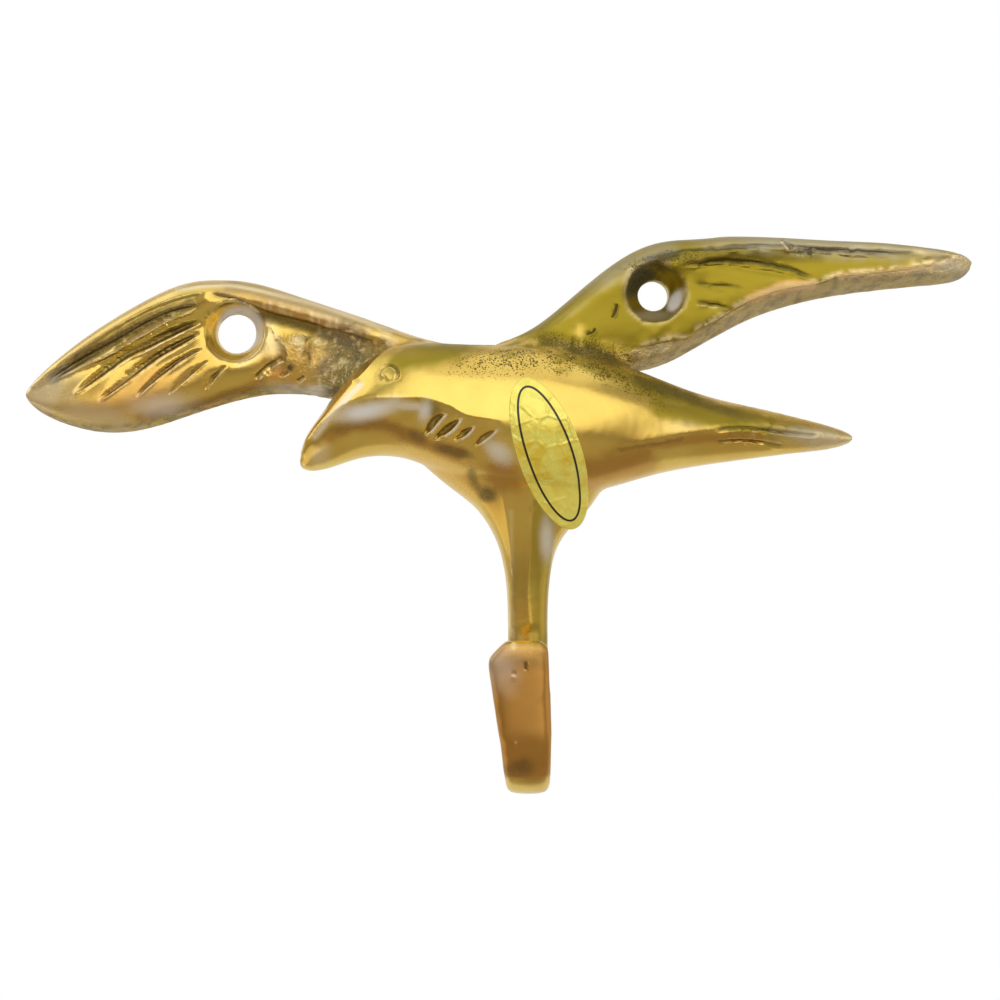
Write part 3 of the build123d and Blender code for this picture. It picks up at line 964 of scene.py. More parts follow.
RIGHT_WING_LINES = (
    Stroke(
        ((16.8, 25.0), (22.0, 26.3), (28.5, 27.0), (39.9, 27.6), (45.7, 27.0), (58.9, 26.3)),
        0.26,
        0.62,
        dirt=0.75,
        rough=0.18,
    ),
    Stroke(
        ((23.8, 24.3), (31.5, 25.0), (39.1, 24.3), (45.6, 22.5)),
        0.26,
        0.7,
        dirt=0.7,
        fade=0.15,
        taper=0.4,
        rough=0.12,
    ),
    Stroke(((25.6, 21.6), (30.0, 21.4), (34.4, 20.9)), 0.1, 0.45, dirt=0.35, fade=0.2, rough=0.12),
    Stroke(
        ((26.1, 18.6), (29.6, 18.3), (31.9, 17.6)), 0.16, 0.45, dirt=0.45, wear_and_highlight=0.4, fade=0.2, rough=0.12
    ),
    Stroke(((13.2, 16.4), (14.0, 18.6)), 0.22, 0.4, **NICK, rough=0.4),
    Stroke(((9.2, 13.6), (10.4, 14.8)), 0.2, 0.35, **NICK, rough=0.4),
    Stroke(((40.2, 29.2), (41.9, 27.6)), 0.5, 0.6, **NICK, wear_and_highlight=0.6, rough=0.3),
    Stroke(((42.6, 27.5), (45.0, 27.0)), 0.3, 0.5, **NICK, wear_and_highlight=0.5, rough=0.4),
)
RIGHT_HEEL = Stroke(
    (
        (17.0, 11.9),
        (22.1, 13.3),
        (24.9, 13.6),
        (26.8, 15.0),
        (29.1, 16.1),
        (31.5, 17.6),
        (35.2, 19.6),
        (39.9, 21.3),
        (46.1, 22.4),
        (49.4, 23.5),
        (55.1, 24.1),
        (61.3, 25.0),
        (66.1, 26.0),
    ),
    0.5,
    1.3,
    Cut.LEDGE,
    0.2,
    0.7,
    0.04,
)
TAIL_LINES = (
    Stroke(((28.2, -1.9), (33.2, -1.5), (39.2, -2.0), (45.8, -2.5)), 0.22, 0.5, dirt=0.55),
    Stroke(((28.5, -3.4), (34.0, -3.2), (40.0, -4.0)), 0.2, 0.5, dirt=0.55),
    Stroke(((13.0, -5.0), (18.0, -3.9), (24.0, -2.9)), 0.12, 0.5, dirt=0.3),
)
GASHES = (
    Stroke(((-16.0, -2.4), (-14.8, -1.8), (-13.7, -0.5), (-12.6, 0.7)), 0.5, 0.85, dirt=0.7, **SLIT),
    Stroke(((-14.5, -3.1), (-12.6, -2.4), (-11.3, -1.4), (-10.3, 0.0)), 0.5, 0.8, dirt=0.7, **SLIT),
    Stroke(((-11.5, -3.2), (-10.2, -2.9), (-9.1, -2.1), (-8.4, -1.2)), 0.42, 0.65, dirt=0.65, **SLIT),
    Stroke(((-8.3, -4.2), (-7.0, -3.4), (-5.9, -2.6), (-5.0, -1.7)), 0.38, 0.6, dirt=0.6, **SLIT),
)
EYE = (
    Stroke(
        ((-22.2, 5.9), (-22.9, 7.0), (-22.2, 8.1), (-21.2, 8.4), (-20.2, 7.8), (-19.9, 6.8), (-20.4, 5.9)),
        0.3,
        0.4,
        Cut.GASH,
        0.5,
        0.5,
    ),
    Stroke(((-21.9, 6.6), (-21.2, 7.1)), 0.25, 0.6, Cut.CREST, 0.0, 0.4),
)
CRESTS = (
    Stroke(
        (
            (-35.0, -5.2),
            (-32.6, -1.6),
            (-30.3, 0.6),
            (-28.2, 2.2),
            (-24.5, 3.4),
            (-20.3, 3.4),
            (-15.8, 3.4),
            (-12.0, 2.2),
            (-9.2, 0.7),
            (-3.4, -0.2),
        ),
        0.55,
        2.2,
        **RISE,
    ),
    Stroke(
        ((8.8, -4.4), (14.3, -3.7), (19.8, -2.5), (25.9, -1.4), (30.8, -1.0), (38.0, -1.1), (46.0, -1.8)),
        0.8,
        2.8,
        fade=0.3,
        **RISE,
    ),
    Stroke(((0.3, -12.6), (0.3, -18.7), (-0.1, -26.2), (0.5, -33.0)), 0.32, 1.4, **RISE),
    Stroke(((-4.2, -10.4), (-3.0, -18.4), (-2.5, -27.5), (-2.5, -33.6)), 0.14, 0.8, **RISE),
    Stroke(((-27.2, 5.4), (-25.2, 7.3), (-23.2, 9.8), (-20.4, 12.2)), 0.25, 0.9, **RISE),
    Stroke(((-35.4, -5.8), (-33.0, -1.9), (-30.4, 1.3), (-27.8, 4.2), (-26.0, 6.6)), 0.4, 1.3, **RISE),
)
TAB_MARKS = (
    Stroke(((-0.8, -37.1), (-0.7, -35.8)), 0.22, 0.3, Cut.GASH, 0.9, fade=0.2),
    Stroke(((-2.9, -37.6), (-2.1, -37.6)), 0.12, 0.5, Cut.GASH, 0.3, fade=0.3),
    Stroke(((-2.6, -48.0), (-1.9, -48.0)), 0.12, 0.5, Cut.CREST, 0.0, 0.4, 0.3),
)
MARKS = (
    *FEATHERS,
    *LEFT_RIM,
    *RIGHT_WING_LINES,
    RIGHT_HEEL,
    *TAIL_LINES,
    *GASHES,
    *EYE,
    *CRESTS,
    *TAB_MARKS,
)

# Parts of the casting that are worked or aged in their own way.
BELLY = Zone(x=((-19.5, -11.5), (20.5, 12.5)), z=((-17.0, -13.0), (-2.5, -5.0)))
LEFT_WING_ROOT = Zone(x=((-31.0, -27.0), (-6.0, -9.0)), z=((1.0, 3.0),))
RIGHT_WING_ROOT = Zone(x=((-8.0, -4.0), (24.0, 18.0)), z=((0.0, 3.0), (18.0, 14.0)))
OFF_THE_WALL = Zone(reach=((0.6, 1.4),))
RAGGED_EDGE = Zone(x=((14.0, 22.0),), z=((2.0, 6.0),), reach=((0.4, 1.2),))
WORN_AND_LIT_EDGES = Zone(z=((-34.0, -31.0),), reach=((1.0, 2.0),))
UNDERSIDES = Zone(z=((-3.0, -1.0),), reach=((6.0, 4.5),))
HEEL_FACE = Zone(x=((14.0, 18.0),), z=((6.5, 8.5),), reach=((7.0, 6.0),))
TAB = Zone(z=((-33.0, -35.0),), reach=((8.0, 11.0),))
TAB_FRONT = Zone(reach=((8.0, 11.0),))
TAB_LOWER = Zone(z=((-32.0, -37.0),))
TAB_AREA = Patch((-1.0, -43.4), 26.0, 10.0, edge=0.03, ragged=0.01)
LUMPS = Patch((-36.4, 11.4), 4.6, 3.2)
HATCHING = Patch((-35.0, 16.9), 9.0, 0.9, -16.5)
ROUGH_AREA = Patch((-28.0, 7.6), 6.5, 7.0)
ROUGH_BOTTOM = Zone(reach=((9.0, 7.0),))

# Edges that paint follows.
BEAK_RIDGE = ((-33.0, -2.4), (-30.5, 0.5), (-28.0, 3.2), (-25.7, 5.4))
NEAR_HEEL_EDGE = ((34.8, 19.6), (38.0, 20.8), (41.8, 21.8), (45.2, 22.1))
FAR_HEEL_EDGE = ((49.2, 23.4), (56.7, 24.1), (63.6, 25.0), (67.3, 25.9))
LEFT_WING_TOP = (
    (-76.0, 9.4),
    (-68.0, 15.6),
    (-60.0, 20.2),
    (-50.0, 22.4),
    (-40.3, 20.4),
    (-32.5, 17.6),
    (-27.0, 15.2),
)
LEFT_WING_TOP_EDGE = (
    (-56.0, 21.4),
    (-48.4, 22.0),
    (-44.0, 21.4),
    (-38.4, 20.1),
    (-32.9, 18.5),
    (-26.2, 16.2),
    (-21.8, 14.4),
)

# Where each mask is painted on the front.
PAINT = {
    # Pale film and painted reflections: most of these stand in for reflections and highlights, such as the
    # band under the brow, spots on the wing tips, leg and tail, the left screw hole's see-through, the right
    # hole's rim, the beak's ridge and the gashes' edges.
    Mask.HAZE_AND_REFLECTION: (
        Patch((-77.5, 4.6), 5.0, 3.0, 35.0, 0.36, 0.9),
        Patch((-69.0, 1.0), 8.0, 2.0, -10.0, 0.3, 0.9),
        Patch((-58.4, 3.0), 4.6, 1.6, 8.0, 0.5, 0.9),
        Patch((-34.0, 5.4), 1.8, 0.9, 0.0, 0.8, 0.8),
        Patch((67.8, 25.0), 3.6, 2.0, -6.0, 0.4, 0.9),
        # Painted reflection: a pale band under the brow.
        Patch((-24.6, 1.4), 4.4, 1.2, 12.0, 1.0, 0.8, 0.15),
        Patch((-15.9, 1.3), 0.9, 1.5, -15.0, 0.75, 0.8, 0.15),
        Swath(((-28.6, 0.5), (-25.9, 1.8), (-22.0, 2.3), (-18.5, 2.1), (-16.0, 1.8)), 0.6, 0.6, 0.8, 0.15),
        Patch((-4.9, -4.9), 2.1, 1.2, -35.0, 0.7, 0.8, 0.2),
        Patch((23.2, -0.9), 3.0, 0.8, 4.0, 0.1, 0.9),
        Patch((46.0, -2.3), 6.0, 1.4, -8.0, 0.4, 0.9),
        # Painted reflection: a pale spot on the leg's right side.
        Patch((2.8, -18.0), 1.0, 3.2, 0.0, 0.7, 0.8, 0.15),
        # Painted light in and around the left screw hole: pale grey for its see-through and its lit
        # countersink.
        Patch((-46.0, 15.2), 3.8, 3.8, 0.0, 0.85, 0.15, 0.03),
        # Painted highlight on the right screw hole's countersink.
        Patch((23.3, 19.5), 0.9, 1.9, -25.0, 1.0, 0.4, 0.1),
        Patch((20.0, 17.3), 2.8, 0.9, 0.0, 0.3, 0.6, 0.1),
        Patch((16.0, 25.4), 8.0, 1.6, 28.0, 0.2, 0.9),
        Patch((-4.6, -37.0), 2.4, 3.0, 0.0, 0.25, 0.9),
        Patch((-38.0, 5.6), 4.0, 0.8, -4.0, 0.4, 0.8),
        Swath(LEFT_WING_TOP, 1.4, 0.1, 0.8),
        Patch((46.0, 28.6), 22.0, 1.7, -4.0, 0.3, 0.9),
        # Painted highlights along the beak's ridge and the gashes' raised edges.
        Swath(BEAK_RIDGE, 0.5, 0.35, 0.9, 0.15),
        *(Swath(gash.path[1:], 0.2, 0.6, 0.8, 0.1) for gash in GASHES),
    ),
    Mask.OLIVE: (
        Patch((-15.0, 10.2), 7.5, 2.3, 10.0, 0.95),
        Patch((30.0, 22.0), 42.0, 11.0, 6.0, 0.95, 0.25),
        Patch((-35.5, 11.5), 5.0, 3.2, 0.0, 0.4),
        Patch((12.0, 7.8), 8.0, 1.5, -20.0, 0.7, 0.35),
        Patch((21.0, 4.6), 9.0, 1.8, -18.0, 0.9),
        Patch((31.0, 0.5), 14.0, 2.0, -8.0, 0.85, 0.35),
        Swath(((-43.0, 17.4), (-39.8, 16.6), (-34.5, 15.0), (-28.5, 13.0)), 0.9, 0.8),
        Swath(((2.2, -13.0), (2.0, -20.0), (1.7, -27.0), (2.0, -33.4)), 1.75, 0.55, 0.12, 0.03),
    ),
    Mask.COPPER_AND_HIGHLIGHT: (
        Patch((-62.5, 4.6), 8.0, 2.8, 12.0, 0.6, 0.8),
        Patch((-36.0, 17.6), 14.0, 2.6, -18.0, 0.35, 0.8),
        Patch((-36.5, 10.0), 5.0, 3.4, 0.0, 0.4),
        Patch((-39.9, 8.1), 1.6, 0.8, 30.0, 0.9),
        Patch((-12.0, -7.4), 8.0, 2.6, -30.0, 0.4, 0.8),
        # Coppery tint of painted highlights along the left wing's hatching and the right wing's heel edges.
        Swath(((-42.3, 18.8), (-39.8, 17.9), (-36.1, 17.0), (-31.3, 15.6)), 0.6, 0.8),
        Swath(NEAR_HEEL_EDGE, 0.8, 0.9, 0.4),
        Swath(FAR_HEEL_EDGE, 0.5, 0.7, 0.5),
    ),
    Mask.BROWN: (
        Patch((-0.8, -49.4), 5.0, 4.0, -35.0, 0.95, 0.4, 0.1),
        Patch((-1.2, -51.4), 4.5, 1.7, 0.0, 0.6, 0.15, 0.05),
        Patch((-4.0, -8.8), 3.2, 2.2, -20.0, 0.75, 0.6),
        Swath(((-1.1, -12.0), (-1.0, -20.0), (-1.2, -27.0), (-1.0, -33.0)), 1.3, 0.12, 0.2, 0.03),
        Swath(((6.0, -8.6), (12.0, -7.4), (17.0, -6.0)), 2.6, 0.75, 0.7),
        Swath(((14.0, -4.8), (20.0, -3.6), (27.0, -2.6), (36.0, -2.4)), 0.7, 0.65, 0.6),
        # Painted shade: a darker band along the cheek under the brow.
        Swath(
            ((-30.6, -2.6), (-28.8, -1.4), (-26.3, -0.7), (-21.2, -0.9), (-17.0, -2.9), (-10.8, -4.9)),
            1.0,
            0.7,
            0.8,
        ),
        Patch((-58.0, 9.5), 7.0, 3.2, 35.0, 0.4, 0.8),
        Swath(((-47.0, 20.9), (-40.3, 19.0), (-32.5, 16.6), (-27.0, 14.6)), 1.0, 0.3, 0.6),
        Swath(((-62.0, 1.0), (-52.0, 3.4), (-46.0, 5.4), (-42.5, 6.6)), 0.8, 0.65, 0.6),
        Swath(((-75.6, 7.6), (-71.9, 10.3), (-66.7, 13.0), (-60.5, 16.5), (-53.5, 19.2)), 0.9, 0.3, 0.7),
    ),
    Mask.SAND: (
        Patch((-36.0, 11.0), 4.0, 3.6, 0.0, 0.5),
        Patch((5.0, 11.5), 14.0, 2.4, -8.0, 0.8),
        Patch((20.0, 6.4), 10.0, 2.0, -18.0, 0.7),
    ),
    Mask.PITS: (
        Patch((0.0, 9.4), 11.0, 2.4, 4.0, 1.0, 0.7),
        Patch((13.5, 7.6), 9.0, 2.6, -24.0, 1.0, 0.7),
        Patch((12.0, 10.6), 8.0, 1.5, -14.0, 1.0, 0.7),
        Patch((20.0, 25.4), 6.0, 1.2, 8.0, 0.8, 0.7),
    ),
    Mask.TARNISH_AND_SHADE: (
        Swath(((-8.8, -8.0), (-8.4, -9.4), (-7.4, -10.6), (-6.0, -11.5)), 0.75, 0.55, 0.6, 0.25),
        Patch((-6.6, -11.1), 1.6, 1.2, -25.0, 0.7, 0.5, 0.2),
        Patch((10.0, 10.6), 8.0, 1.2, -14.0, 0.6),
        Patch((24.0, 4.0), 10.0, 1.0, -18.0, 0.5),
        Patch((-1.9, -51.6), 2.0, 1.3, 10.0, 0.5, 0.6),
        Patch((17.6, 22.6), 2.6, 2.0, 45.0, 0.9, 0.5),
        Patch((21.0, 26.0), 3.0, 0.9, 8.0, 0.8, 0.6),
        Patch((-35.7, 13.5), 0.8, 0.45, -20.0, 0.9, 0.6),
        Patch((-36.1, 12.3), 0.6, 0.35, 10.0, 0.7, 0.6),
        Patch((-35.5, 11.3), 0.35, 0.9, 0.0, 0.7, 0.6),
        Patch((-37.8, 8.9), 0.5, 0.5, 0.0, 0.9, 0.6),
        Patch((-14.7, 1.6), 1.6, 0.9, -30.0, 0.5, 0.7),
        Patch((-17.0, -2.4), 1.8, 0.9, -30.0, 0.55, 0.7),
        Patch((-11.9, -4.6), 3.2, 0.7, -14.0, 0.6, 0.7),
        Swath(((-43.0, 17.3), (-39.8, 16.5), (-34.5, 14.9), (-28.5, 12.8)), 0.85, 0.6, 0.6),
        Swath(((-75.6, 7.4), (-71.9, 10.1), (-66.7, 12.9), (-60.5, 16.3), (-53.5, 19.0)), 1.0, 0.75, 0.7),
        Swath(((-60.0, 1.2), (-52.0, 3.3), (-46.0, 5.2), (-38.0, 6.0)), 0.6, 0.35, 0.7),
        # Painted shade on the cheek under the brow.
        Swath(((-29.0, -1.6), (-26.3, -0.6), (-21.2, -0.9), (-17.0, -2.9)), 0.7, 0.25, 0.8),
        Swath(((24.0, 26.0), (34.0, 26.6), (46.0, 26.4)), 0.9, 0.35, 0.8),
        Swath(((-47.0, 22.0), (-40.3, 19.9), (-32.5, 17.2), (-27.0, 14.9)), 1.3, 0.4, 0.8),
        # Painted shade that dims the top of the tab.
        Patch((-1.6, -35.2), 5.0, 1.8, 0.0, 0.35, 0.7),
    ),
    # Wearing and painted highlights: bright lines along the beak's ridge, the leg, the right hole's rim, the
    # left wing's top edge and the right wing's heel edges.
    Mask.WEAR_AND_HIGHLIGHT: (
        Swath(BEAK_RIDGE, 0.4, 0.9, 0.9),
        Swath(((-2.8, -14.0), (-2.7, -20.0), (-2.6, -27.5), (-2.5, -33.6)), 0.3, 0.6, 0.8, 0.8),
        Patch((23.9, 19.6), 0.6, 2.0, -25.0, 0.9, 0.5, 0.1),
        Patch((-32.2, -5.2), 1.8, 1.1, 40.0, 0.8, 0.9),
        Swath(LEFT_WING_TOP_EDGE, 0.35, 1.0, 0.7, 0.1),
        Patch((-41.0, 13.4), 1.3, 2.4, 20.0, 0.6, 0.8),
        Swath(((-41.0, 12.7), (-43.5, 10.6), (-45.6, 9.4)), 0.6, 0.5, 0.7),
        Swath(NEAR_HEEL_EDGE, 0.5, 0.6, 0.5),
        Swath(FAR_HEEL_EDGE, 0.3, 0.6, 0.5),
    ),
}


@dataclass
class CastBird:
    """The brass casting: bird, hook and screw holes in one piece, with its worked and aged surface."""

    node: str = "bird_casting"
    slot: str = "cast_brass"
    voxel: float = 0.5
    back_margin: float = 1.0
    back_tolerance: float = 0.01
    fine_width: float = 1.0
    facing: float = 0.1
    surface_seed: int = 11
    age_seed: int = 23
    lump_height: float = 0.7
    lump_size: float = 2.6
    crevice_depth: float = 0.25
    crevice_width: float = 0.1
    hatch_height: float = 0.1
    hatch_size: float = 0.55
    ragged_height: float = 0.2
    ragged_size: float = 1.8
    stray_size: float = 0.9
    wander_size: float = 3.0
    sparkle_size: float = 0.6
    ease: float = 0.6
    left_root_share: float = 0.6
    crease_passes: int = 6
    crease_blur: int = 4
    crease_rounds: int = 10
    tab_rounds: int = 8
    edge_blur: int = 5
    finish: BrassFinish = field(default_factory=BrassFinish)
    back_finish: GroundFinish = field(default_factory=GroundFinish)

    LUMP_STRETCH: ClassVar[Place] = (1.0, 0.2, 1.0)
    HATCH_STRETCH: ClassVar[Place] = (1.0, 0.1, 0.3)

    # Heights of layers of noise by the width of their bumps.
    ROUGH_NOISE: ClassVar[dict[float, float]] = {1.5: 0.2, 0.8: 0.13}
    SWELL_NOISE: ClassVar[dict[float, float]] = {9.0: 0.04, 4.0: 0.008}
    WANDER_NOISE: ClassVar[dict[float, float]] = {2.5: 1.0, 1.0: 0.6}

    # From where a hollow, an edge or noise counts, to where it counts in full.
    CREASE: ClassVar[Span] = (0.004, 0.03)
    HOLLOW: ClassVar[Span] = (0.03, 0.16)
    EDGE: ClassVar[Span] = (0.03, 0.14)
    SPARKLE: ClassVar[Span] = (-0.7, 0.1)
    LUMP_TOP: ClassVar[Span] = (0.25, 0.6)
    GLINT: ClassVar[Span] = (0.25, 0.5)
    STAIN: ClassVar[Span] = (0.1, 0.5)
    GRIT: ClassVar[Span] = (-0.1, 0.4)

    # How much of each mask there is in the rough hollow, on the tab, and on walls that no file reached.
    ROUGH_PAINT: ClassVar[dict[Mask, float]] = {
        Mask.OLIVE: 0.95,
        Mask.SAND: 1.0,
        Mask.TARNISH_AND_SHADE: 0.1,
        Mask.HAZE_AND_REFLECTION: 0.14,
    }
    TAB_PAINT: ClassVar[dict[Mask, float]] = {Mask.COPPER_AND_HIGHLIGHT: 0.75, Mask.BROWN: 0.8}
    WALL_PAINT: ClassVar[dict[Mask, float]] = {Mask.SAND: 0.7, Mask.OLIVE: 0.4}

    def build(self, frame: dict) -> bpy.types.Object:
        """Makes the casting's visible piece.

        Args:
            frame: The loaded frame.

        Returns:
            The piece, riding on the frame in the node's place.
        """
        mesh = self._even_mesh(frame["nodes"][self.node])
        mesh.materials.clear()
        mesh.materials.append(self.finish.material())
        mesh.materials.append(self.back_finish.material())
        skin = Skin(mesh)
        skin.relax(0.5, 2)
        self._fill_creases(skin)
        dirt, wear_and_highlight = self._work_surface(skin)
        self._age(skin, dirt, wear_and_highlight)
        skin.store()
        self._close_back(mesh)
        piece = bpy.data.objects.new("cast_bird_hook", mesh)
        bpy.context.scene.collection.objects.link(piece)
        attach(piece, "root")
        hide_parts(self.node)
        return piece

    def _even_mesh(self, source: bpy.types.Object) -> bpy.types.Mesh:
        """An even mesh of the solid without its flat back, finer beside the tool marks.

        Args:
            source: The node's object.

        Returns:
            A new mesh, open at the wall.
        """
        solid = source.data.copy()
        work = bmesh.new()
        work.from_mesh(solid)
        bmesh.ops.remove_doubles(work, verts=work.verts, dist=WELD)
        back = [f for f in work.faces if all(v.co.y > -self.back_tolerance * MM for v in f.verts)]
        grown = bmesh.ops.extrude_face_region(work, geom=back)["geom"]
        moved = [v for v in grown if isinstance(v, bmesh.types.BMVert)]
        bmesh.ops.translate(work, vec=(0.0, self.back_margin * MM, 0.0), verts=moved)
        work.to_mesh(solid)
        copy = bpy.data.objects.new("casting_copy", solid)
        bpy.context.scene.collection.objects.link(copy)
        remesh = copy.modifiers.new("even", "REMESH")
        remesh.mode = "VOXEL"
        remesh.voxel_size = self.voxel * MM
        mesh = bpy.data.meshes.new_from_object(copy.evaluated_get(bpy.context.evaluated_depsgraph_get()))
        bpy.data.objects.remove(copy)
        work.clear()
        work.from_mesh(mesh)
        cut = {"plane_co": (0, 0, 0), "plane_no": (0, 1, 0), "clear_outer": True}
        bmesh.ops.bisect_plane(work, geom=[*work.verts, *work.edges, *work.faces], **cut)
        self._refine(work)
        work.to_mesh(mesh)
        work.free()
        return mesh

    def _refine(self, work: bmesh.types.BMesh) -> None:
        """Divides the faces beside the tool marks, and those beside the fine marks twice."""
        fine = [m for m in MARKS if m.width <= self.fine_width]
        for marks in (MARKS, fine):
            work.normal_update()
            centres = np.array([f.calc_center_median() for f in work.faces]) / MM
            near = np.any([m.near(centres[:, [0, 2]]) for m in marks], axis=0)
            near &= np.array([f.normal.y < -self.facing for f in work.faces])
            edges = {e for f, use in zip(work.faces, near) if use for e in f.edges}
            bmesh.ops.subdivide_edges(work, edges=list(edges), cuts=1, use_grid_fill=True)

    def _close_back(self, mesh: bpy.types.Mesh) -> None:
        """Closes the mesh with a flat back that has a sharp edge."""
        work = bmesh.new()
        work.from_mesh(mesh)
        rim = [e for e in work.edges if e.is_boundary]
        how = {"use_beauty": True, "use_dissolve": False, "normal": (0, 1, 0)}
        filled = bmesh.ops.triangle_fill(work, edges=rim, **how)
        bmesh.ops.recalc_face_normals(work, faces=work.faces[:])
        for face in work.faces:
            face.smooth = True
        for item in filled["geom"]:
            if isinstance(item, bmesh.types.BMFace):
                item.material_index = 1
        for edge in rim:
            edge.smooth = False
        work.to_mesh(mesh)
        work.free()

    def _fill_creases(self, skin: Skin) -> None:
        """Runs the wing roots and the flare smoothly into the body, as the pattern's fillets do."""
        left_root = self.left_root_share * LEFT_WING_ROOT.share(skin)
        roots = [BELLY.share(skin), left_root, RIGHT_WING_ROOT.share(skin)]
        zone = np.maximum.reduce(roots) * OFF_THE_WALL.share(skin)
        tab = TAB.share(skin)
        for _ in range(self.crease_passes):
            depth = skin.blur(skin.hollow(self.crease_blur), self.crease_blur)
            skin.relax(self.ease * zone * ramp(depth, *self.CREASE), self.crease_rounds)
        skin.relax(self.ease * tab, self.tab_rounds)

    def _work_surface(self, skin: Skin) -> tuple[np.ndarray, np.ndarray]:
        """Cuts the feathers, ledges and crests, and leaves the marks of the mould.

        Args:
            skin: The casting's surface.

        Returns:
            How much dirt the marks hold, and how much wearing and painted highlight they carry, at each
            point.
        """
        direction = skin.normals()
        front = ramp(-direction[:, 1], 0.1, 0.4) * ramp(skin.reach, 0.6, 1.2)
        noise = LatticeNoise(self.surface_seed)
        height = np.zeros(len(skin.points))
        dirt = np.zeros(len(skin.points))
        wear_and_highlight = np.zeros(len(skin.points))
        sparkle = ramp(noise.at(skin.points, self.sparkle_size), *self.SPARKLE)
        stray = noise.at(skin.points, self.stray_size)
        for mark in MARKS:
            across, along = mark.measure(skin.flat)
            here = mark.ends(along) * front * (np.abs(across) < mark.LIMIT * mark.width)
            share = (across + mark.rough * stray) / mark.girth(along)
            height += mark.depth * mark.profile(share) * here
            dirt = np.maximum(dirt, mark.dirty(share) * here)
            wear_and_highlight = np.maximum(wear_and_highlight, mark.worn_and_lit(share) * here * sparkle)
        wander = noise.at(skin.points, self.wander_size)
        lumps = LUMPS.cover(skin.flat, wander)
        swell = noise.at(skin.points * self.LUMP_STRETCH, self.lump_size)
        crevice = lumps * bell(swell, 0.0, self.crevice_width)
        height += self.lump_height * lumps * np.abs(swell) - self.crevice_depth * crevice
        dirt = np.maximum(dirt, 0.6 * crevice)
        # Painted highlights on the tops of the lumps.
        wear_and_highlight = np.maximum(wear_and_highlight, 0.7 * lumps * ramp(np.abs(swell), *self.LUMP_TOP) * sparkle)
        height += self._rough_hollow(skin, wander) * noise.layered(skin.points, self.ROUGH_NOISE)
        hatching = HATCHING.cover(skin.flat, wander)
        scratch = noise.at(skin.points * self.HATCH_STRETCH, self.hatch_size)
        height += self.hatch_height * hatching * front * scratch
        # Painted glints along the hatching.
        wear_and_highlight = np.maximum(wear_and_highlight, 0.5 * hatching * ramp(scratch, 0.0, 0.5))
        ragged = RAGGED_EDGE.share(skin) * ramp(direction[:, 2], 0.1, -0.3)
        height += self.ragged_height * ragged * noise.at(skin.points, self.ragged_size)
        height += front * noise.layered(skin.points, self.SWELL_NOISE)
        skin.push(height, direction)
        return dirt, wear_and_highlight

    def _rough_hollow(self, skin: Skin, wander: np.ndarray) -> np.ndarray:
        """Where the wing beside the beak is left as it came out of the sand.

        Args:
            skin: The casting's surface.
            wander: Noise that makes the edge irregular.

        Returns:
            1 in the hollow and 0 outside.
        """
        return ROUGH_AREA.cover(skin.flat, wander) * ROUGH_BOTTOM.share(skin)

    def _age(self, skin: Skin, dirt: np.ndarray, wear_and_highlight: np.ndarray) -> None:
        """Paints where the brass is aged, stained, hazy, sandy or full of pores, and where highlights,
        reflections and shade are painted.

        Args:
            skin: The casting's worked surface.
            dirt: Dirt that the marks hold.
            wear_and_highlight: Wearing and painted highlight along the marks.
        """
        direction = skin.normals()
        noise = LatticeNoise(self.age_seed)
        front = ramp(-direction[:, 1], -0.1, 0.2)
        wander = noise.layered(skin.points, self.WANDER_NOISE)
        coat = Coat(len(skin.points))
        for mask, areas in PAINT.items():
            for area in areas:
                coat.add(mask, area.cover(skin.flat, wander) * front)
        self._age_rough(skin, coat, noise, wander)
        tab = TAB_AREA.cover(skin.flat, wander) * front * TAB_FRONT.share(skin)
        coat.add(Mask.COPPER_AND_HIGHLIGHT, self.TAB_PAINT[Mask.COPPER_AND_HIGHLIGHT] * tab)
        coat.add(Mask.BROWN, self.TAB_PAINT[Mask.BROWN] * tab * TAB_LOWER.share(skin))
        hollow = skin.blur(skin.hollow(self.edge_blur), 1)
        coat.add(Mask.TARNISH_AND_SHADE, dirt)
        coat.add(Mask.TARNISH_AND_SHADE, 0.8 * ramp(hollow, *self.HOLLOW))
        coat.add(Mask.WEAR_AND_HIGHLIGHT, wear_and_highlight)
        # Edges rubbed bright: partly real wearing, partly a painted highlight along the outer edges above
        # the tab.
        coat.add(Mask.WEAR_AND_HIGHLIGHT, 0.6 * ramp(-hollow, *self.EDGE) * WORN_AND_LIT_EDGES.share(skin))
        self._age_walls(skin, coat, noise, direction)
        coat.paint(skin)

    def _age_rough(self, skin: Skin, coat: Coat, noise: LatticeNoise, wander: np.ndarray) -> None:
        """Paints the rough hollow, with glints and stains.

        Args:
            skin: The casting's worked surface.
            coat: The masks.
            noise: Noise of the ageing.
            wander: Noise that makes the edge irregular.
        """
        rough = self._rough_hollow(skin, wander)
        for mask, share in self.ROUGH_PAINT.items():
            coat.add(mask, share * rough)
        coat.add(Mask.WEAR_AND_HIGHLIGHT, 0.85 * rough * ramp(noise.at(skin.points, 0.9), *self.GLINT))
        coat.add(Mask.TARNISH_AND_SHADE, 0.55 * rough * ramp(noise.at(skin.points, 1.7), *self.STAIN))

